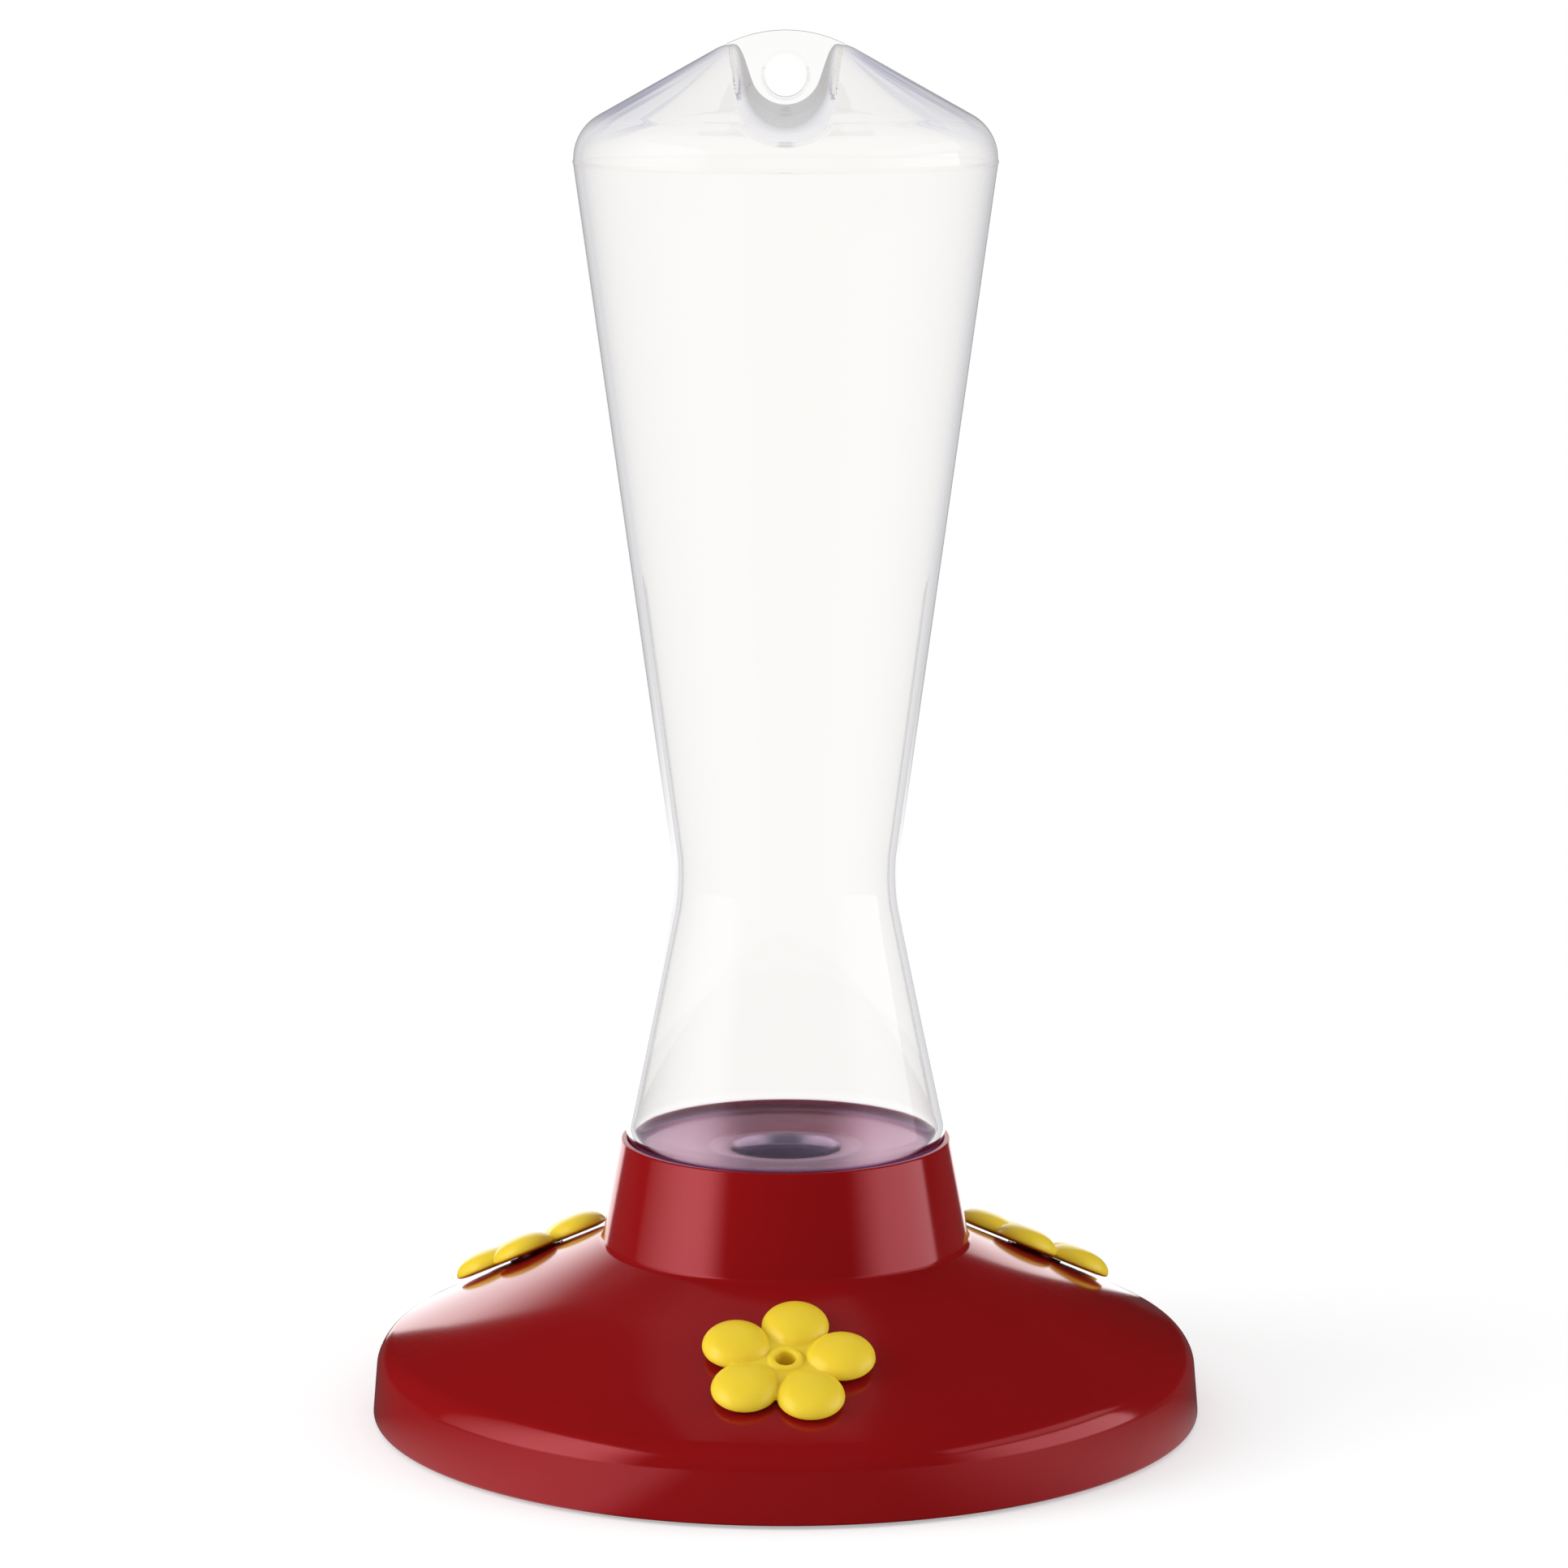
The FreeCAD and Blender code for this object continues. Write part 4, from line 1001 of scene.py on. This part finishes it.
class FEEDER_OT_flowers(bpy.types.Operator):
    """Model one snap-in flower and set a copy in each port"""

    bl_idname = "feeder.flowers"
    bl_label = "Flowers"

    def execute(self, context):
        f = context.scene.feeder_flower
        flower = self.one_flower(f)
        for node, (body, azimuth, own_turn) in FLOWERS.items():
            piece = flower.copy()
            piece.data = flower.data.copy()
            piece.name = node + "_moulding"
            context.collection.objects.link(piece)
            lift = Matrix.Translation((0, 0, context.scene.feeder_base.boss_height + 0.05 * MM))
            spin = Matrix.Rotation(math.radians(own_turn), 4, "Z")
            piece.data.transform(port_matrix(azimuth) @ lift @ spin)
            dress(piece, shared_material(moulded_yellow))
            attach(piece, body)
            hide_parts(node)
        bpy.data.objects.remove(flower)
        return {"FINISHED"}

    def one_flower(self, f):
        """Petals, hub, eye ring and stem run together as one soft-edged moulding."""
        petals = copies_round(self.petal(f), f.petals)
        hole = f.hole_radius
        stem, barb, stem_tip = 2.85 * MM, 3.45 * MM, 2.5 * MM
        stem_end, barb_z = -4.85 * MM, -2.05 * MM
        hub_z = 1.2 * MM
        eye_z = hub_z + 0.45 * MM
        hub = turn(
            "hub",
            [
                (hole, stem_end, 0),
                (stem_tip, stem_end, 0),
                (barb, barb_z, 0),
                (stem, barb_z, 0),
                (stem, 0, 0),
                (f.hub_radius, 0, 0),
                (f.hub_radius, hub_z, 0),
                (2.6 * MM, hub_z, 0),
                (2.4 * MM, eye_z, 0),
                (hole + 0.2 * MM, eye_z, 0),
                (hole, eye_z - 0.25 * MM, 0),
            ],
            96,
        )
        flower = join(petals, hub)
        flower.name = "flower"
        flower.data.remesh_voxel_size = 0.16 * MM
        activate(flower)
        bpy.ops.object.voxel_remesh()
        apply_modifier(flower, "SMOOTH", factor=0.5, iterations=6)
        bpy.ops.object.shade_smooth()
        return flower

    def petal(self, f):
        """Egg-shaped pillow with its broad end outwards, flat below."""
        big = f.petal_radius
        small = f.heel_share * big
        big_y = f.petal_tip - big
        small_y = big_y - (big - small) / sin(f.petal_taper)
        middle = (f.petal_tip + small_y - small) / 2
        rounds = 12
        balls = [
            (small_y + (big_y - small_y) * i / rounds - middle, small + (big - small) * i / rounds)
            for i in range(rounds + 1)
        ]
        rim_z = 0.5 * MM
        deselect()
        bpy.ops.mesh.primitive_uv_sphere_add(segments=64, ring_count=40, radius=0.5)
        petal = newest("petal")
        for vertex in petal.data.vertices:
            x, y, z = vertex.co * 2
            across = min(math.hypot(x, y), 1.0)
            angle = math.atan2(y, x)
            # The outline is the farthest of the round ends and of the rounds between them
            reach = max(
                centre * math.sin(angle) + math.sqrt(max(radius**2 - (centre * math.cos(angle)) ** 2, 0.0))
                for centre, radius in balls
            )
            vertex.co.x = reach * across * math.cos(angle)
            vertex.co.y = reach * across * math.sin(angle) + middle
            if z > 0:
                vertex.co.z = rim_z + (f.petal_height - rim_z) * math.sqrt(1 - across**2.4)
            else:
                vertex.co.z = rim_z - rim_z * math.sqrt(1 - across**6)
        return petal


class FEEDER_OT_finish_frame(bpy.types.Operator):
    """Give the tray and the neck seal their materials"""

    bl_idname = "feeder.finish_frame"
    bl_label = "Tray and seal"

    def execute(self, context):
        dress(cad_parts["nectar_tray"], shared_material(moulded_red))
        dress(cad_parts["neck_gasket"], shared_material(silicone))
        return {"FINISHED"}


PALE_ROOM = (0.9, 0.9, 0.94, 1)  # what thick parts of the clear bottle gather from all sides
WHITE = (1, 1, 1, 1)


def plainly_mirrored(tree, rays):
    """1 for a mirrored ray, and 0 for one that came through the bottle, which counts as glossy too."""
    apart = add(tree, "ShaderNodeMath", LESS, rays["Is Glossy Ray"], rays["Is Transmission Ray"])
    return add(tree, "ShaderNodeMath", LARGER, apart, 0.0)


def led_by_wall(tree, rays):
    """1 for a ray that was mirrored after it had entered the bottle."""
    entered = add(tree, "ShaderNodeMath", OVER, rays["Transmission Depth"], 0.5)
    return add(tree, "ShaderNodeMath", TIMES, entered, plainly_mirrored(tree, rays))


class FEEDER_OT_stage(bpy.types.Operator):
    """Set up the floor, the studio light and the camera"""

    bl_idname = "feeder.stage"
    bl_label = "Stage"

    def execute(self, context):
        self.floor()
        self.cards()
        self.lamps()
        self.sky(context)
        self.camera(context)
        context.scene.view_settings.view_transform = "Standard"
        return {"FINISHED"}

    def floor(self):
        """White table: it keeps the soft shadow near the base and fades to plain white farther off."""
        deselect()
        just_below = (0, 0, -0.02 * MM)
        bpy.ops.mesh.primitive_circle_add(vertices=96, radius=14, fill_type="NGON", location=just_below)
        floor = newest("studio_floor")
        material, tree = new_material("Studio floor")
        place = add(tree, "ShaderNodeTexCoord").outputs["Object"]
        axes = add(tree, "ShaderNodeSeparateXYZ", Vector=place).outputs
        far = add(tree, "ShaderNodeVectorMath", LENGTH, place).outputs["Value"]
        rays = add(tree, "ShaderNodeLightPath").outputs
        seen = add(tree, "ShaderNodeMath", LARGER, rays["Is Camera Ray"], rays["Is Transmission Ray"])
        lit = add(tree, "ShaderNodeBsdfDiffuse", Color=(0.8, 0.8, 0.8, 1))
        lifted = add(tree, "ShaderNodeMath", TIMES, seen, 0.4)
        lift = add(tree, "ShaderNodeEmission", Color=WHITE, Strength=lifted)
        near = add(tree, "ShaderNodeAddShader", (), lit, lift)
        white = add(tree, "ShaderNodeEmission", Color=WHITE, Strength=1.0)
        fade = add(tree, "ShaderNodeMapRange", EASED, far, 0.075, 0.3)
        far_seen = add(tree, "ShaderNodeMath", TIMES, seen, fade)
        plain = add(tree, "ShaderNodeMixShader", (), far_seen, near, white)
        mirrored = add(tree, "ShaderNodeEmission", Color=WHITE, Strength=self.table_glow(tree, axes))
        surface = add(tree, "ShaderNodeMixShader", (), plainly_mirrored(tree, rays), plain, mirrored)
        pale = add(tree, "ShaderNodeEmission", Color=PALE_ROOM)
        surface = add(tree, "ShaderNodeMixShader", (), led_by_wall(tree, rays), surface, pale)
        add(tree, "ShaderNodeOutputMaterial", Surface=surface)
        dress(floor, material)

    def table_glow(self, tree, axes):
        """What reflections show of the table: bright at the left, dimmer at the right, dark elsewhere."""
        to_front = add(tree, "ShaderNodeMath", TIMES, axes["Y"], -1.0)
        around = add(tree, "ShaderNodeMath", ANGLE, axes["X"], to_front)
        unlit = 0.06
        sides = []
        # Degrees from the front where it starts, is full, begins to fade and is gone, and how bright it is
        for start, full, fading, gone, strength in ((-20, -31, -38, -95, 0.9), (18, 55, 55, 105, 0.6)):
            start, full, fading, gone = (math.radians(angle) for angle in (start, full, fading, gone))
            rise = add(tree, "ShaderNodeMapRange", EASED, around, start, full, unlit, strength)
            fall = add(tree, "ShaderNodeMapRange", EASED, around, gone, fading)
            sides.append(add(tree, "ShaderNodeMath", TIMES, rise, fall))
        return add(tree, "ShaderNodeMath", LARGER, *sides)

    # Name, the two ends of its foot, its height from and to, its glow along an axis (where it is weakest and
    # strongest, and how weak and strong), and whether it lights the feeder too
    boards = (
        ("board_left_front", (-0.46, -0.62), (-0.53, -0.298), 0.0, 0.62, ("X", 0.46, 0.52, 0.0, 2.3), True),
        ("board_left", (-0.53, -0.298), (-0.63, 0.162), 0.0, 0.62, ("X", 0.64, 0.53, 0.2, 2.3), True),
        ("board_right", (0.46, -0.62), (0.634, 0.182), 0.0, 0.34, ("X", 0.475, 0.55, 0.0, 1.9), True),
        ("board_right_high", (0.5, -0.45), (0.66, 0.3), 0.36, 0.56, ("Z", 0.36, 0.42, 0.0, 0.85), True),
        ("board_near", (-0.082, 0.085), (0.062, 0.085), 0.0, 0.42, ("Z", 0.1, 0.035, 0.22, 1.9), False),
        ("board_dark", (-0.015, 0.084), (0.015, 0.084), 0.0, 0.12, ("X", 0.007, 0.015, 0.08, 0.9), False),
    )

    def cards(self):
        """White boards and a dark one that show in reflections; those at the sides light the feeder too."""
        for name, (x0, y0), (x1, y1), low, high, glow, lights in self.boards:
            deselect()
            bpy.ops.mesh.primitive_plane_add(size=1)
            card = newest(name)
            corners = ((x0, y0, low), (x1, y1, low), (x0, y0, high), (x1, y1, high))
            for vertex, corner in zip(card.data.vertices, corners):
                vertex.co = corner
            axis, weak_at, strong_at, weakest, strongest = glow
            material, tree = new_material("Studio " + name)
            place = add(tree, "ShaderNodeTexCoord").outputs["Object"]
            axes = add(tree, "ShaderNodeSeparateXYZ", (), place).outputs
            along = add(tree, "ShaderNodeMath", UNSIGNED, axes[axis])
            strength = add(tree, "ShaderNodeMapRange", EASED, along, weak_at, strong_at, weakest, strongest)
            shown = add(tree, "ShaderNodeEmission", Color=WHITE, Strength=strength)
            # The dark board is what the middle of the bottle's floor mirrors
            if name != "board_dark":
                rays = add(tree, "ShaderNodeLightPath").outputs
                pale = add(tree, "ShaderNodeEmission", Color=PALE_ROOM)
                shown = add(tree, "ShaderNodeMixShader", (), led_by_wall(tree, rays), shown, pale)
            add(tree, "ShaderNodeOutputMaterial", Surface=shown)
            dress(card, material)
            card.visible_camera = False
            card.visible_transmission = False
            card.visible_shadow = False
            card.visible_diffuse = lights

    def lamps(self):
        """Low softboxes at both sides and a weak one over the camera; the boards are their reflections."""
        for name, place, size, watts in (
            ("softbox_left", (-0.74, -0.18, 0.12), (0.5, 0.7), 4.4),
            ("softbox_right", (0.74, -0.18, 0.12), (0.5, 0.7), 2.4),
            ("softbox_front", (0, -0.9, 0.75), (0.9, 0.5), 1.0),
        ):
            light = bpy.data.lights.new(name, "AREA")
            light.shape = "RECTANGLE"
            light.size, light.size_y = size
            light.energy = watts
            lamp = bpy.data.objects.new(name, light)
            bpy.context.collection.objects.link(lamp)
            aim = Vector((0, 0, 0.06)) - Vector(place)
            lamp.location = place
            lamp.rotation_euler = aim.to_track_quat("-Z", "Y").to_euler()
            lamp.visible_camera = False
            lamp.visible_glossy = False
            lamp.visible_transmission = False

    def sky(self, context):
        """White to the camera and through the bottle, nearly black in reflections, and an even soft light."""
        world = bpy.data.worlds.new("Studio")
        context.scene.world = world
        world.use_nodes = True
        tree = world.node_tree
        tree.nodes.clear()
        rays = add(tree, "ShaderNodeLightPath").outputs
        seen = add(tree, "ShaderNodeMath", LARGER, rays["Is Camera Ray"], rays["Is Transmission Ray"])
        room = add(tree, "ShaderNodeBackground", Color=WHITE, Strength=0.52)
        dark = add(tree, "ShaderNodeBackground", Color=WHITE, Strength=0.01)
        white = add(tree, "ShaderNodeBackground", Color=WHITE, Strength=1.0)
        pale = add(tree, "ShaderNodeBackground", Color=PALE_ROOM)
        unseen = add(tree, "ShaderNodeMixShader", (), rays["Is Glossy Ray"], room, dark)
        shown = add(tree, "ShaderNodeMixShader", (), seen, unseen, white)
        shown = add(tree, "ShaderNodeMixShader", (), led_by_wall(tree, rays), shown, pale)
        add(tree, "ShaderNodeOutputWorld", Surface=shown)

    def camera(self, context):
        """The photograph's view: a long lens, a little above the feeder and tilted down at it."""
        data = bpy.data.cameras.new("photo_camera")
        data.sensor_width = 36.0
        data.lens = 123.8
        camera = bpy.data.objects.new("photo_camera", data)
        context.collection.objects.link(camera)
        camera.location = (-0.24 * MM, -793.65 * MM, 226.57 * MM)
        camera.rotation_euler = (math.radians(80.667), 0, 0)
        context.scene.camera = camera


class FEEDER_PT_panel(bpy.types.Panel):
    """Lists the feeder's pieces"""

    bl_idname = "FEEDER_PT_panel"
    bl_label = "Hummingbird feeder"
    bl_space_type = "VIEW_3D"
    bl_region_type = "UI"
    bl_category = "Feeder"

    def draw(self, context):
        layout = self.layout
        for group in (getattr(context.scene, name) for name in GROUPS):
            for name in group.bl_rna.properties.keys():
                if name not in ("rna_type", "name"):
                    layout.prop(group, name)
        for operator in STEPS:
            layout.operator(operator.bl_idname)


GROUPS = {
    "feeder_base": BaseSizes,
    "feeder_bottle": BottleSizes,
    "feeder_flower": FlowerSizes,
    "feeder_finish": Finishes,
}
STEPS = (FEEDER_OT_cover, FEEDER_OT_bottle, FEEDER_OT_flowers, FEEDER_OT_finish_frame, FEEDER_OT_stage)


def register():
    for group in GROUPS.values():
        bpy.utils.register_class(group)
    for name, group in GROUPS.items():
        setattr(bpy.types.Scene, name, PointerProperty(type=group))
    for cls in STEPS + (FEEDER_PT_panel,):
        bpy.utils.register_class(cls)


def unregister():
    for cls in reversed(STEPS + (FEEDER_PT_panel,)):
        bpy.utils.unregister_class(cls)
    for name in GROUPS:
        delattr(bpy.types.Scene, name)
    for group in reversed(list(GROUPS.values())):
        bpy.utils.unregister_class(group)


def main():
    register()
    bpy.ops.feeder.cover()
    bpy.ops.feeder.bottle()
    bpy.ops.feeder.flowers()
    bpy.ops.feeder.finish_frame()
    bpy.ops.feeder.stage()
    deselect()


if __name__ == "__main__":
    main()
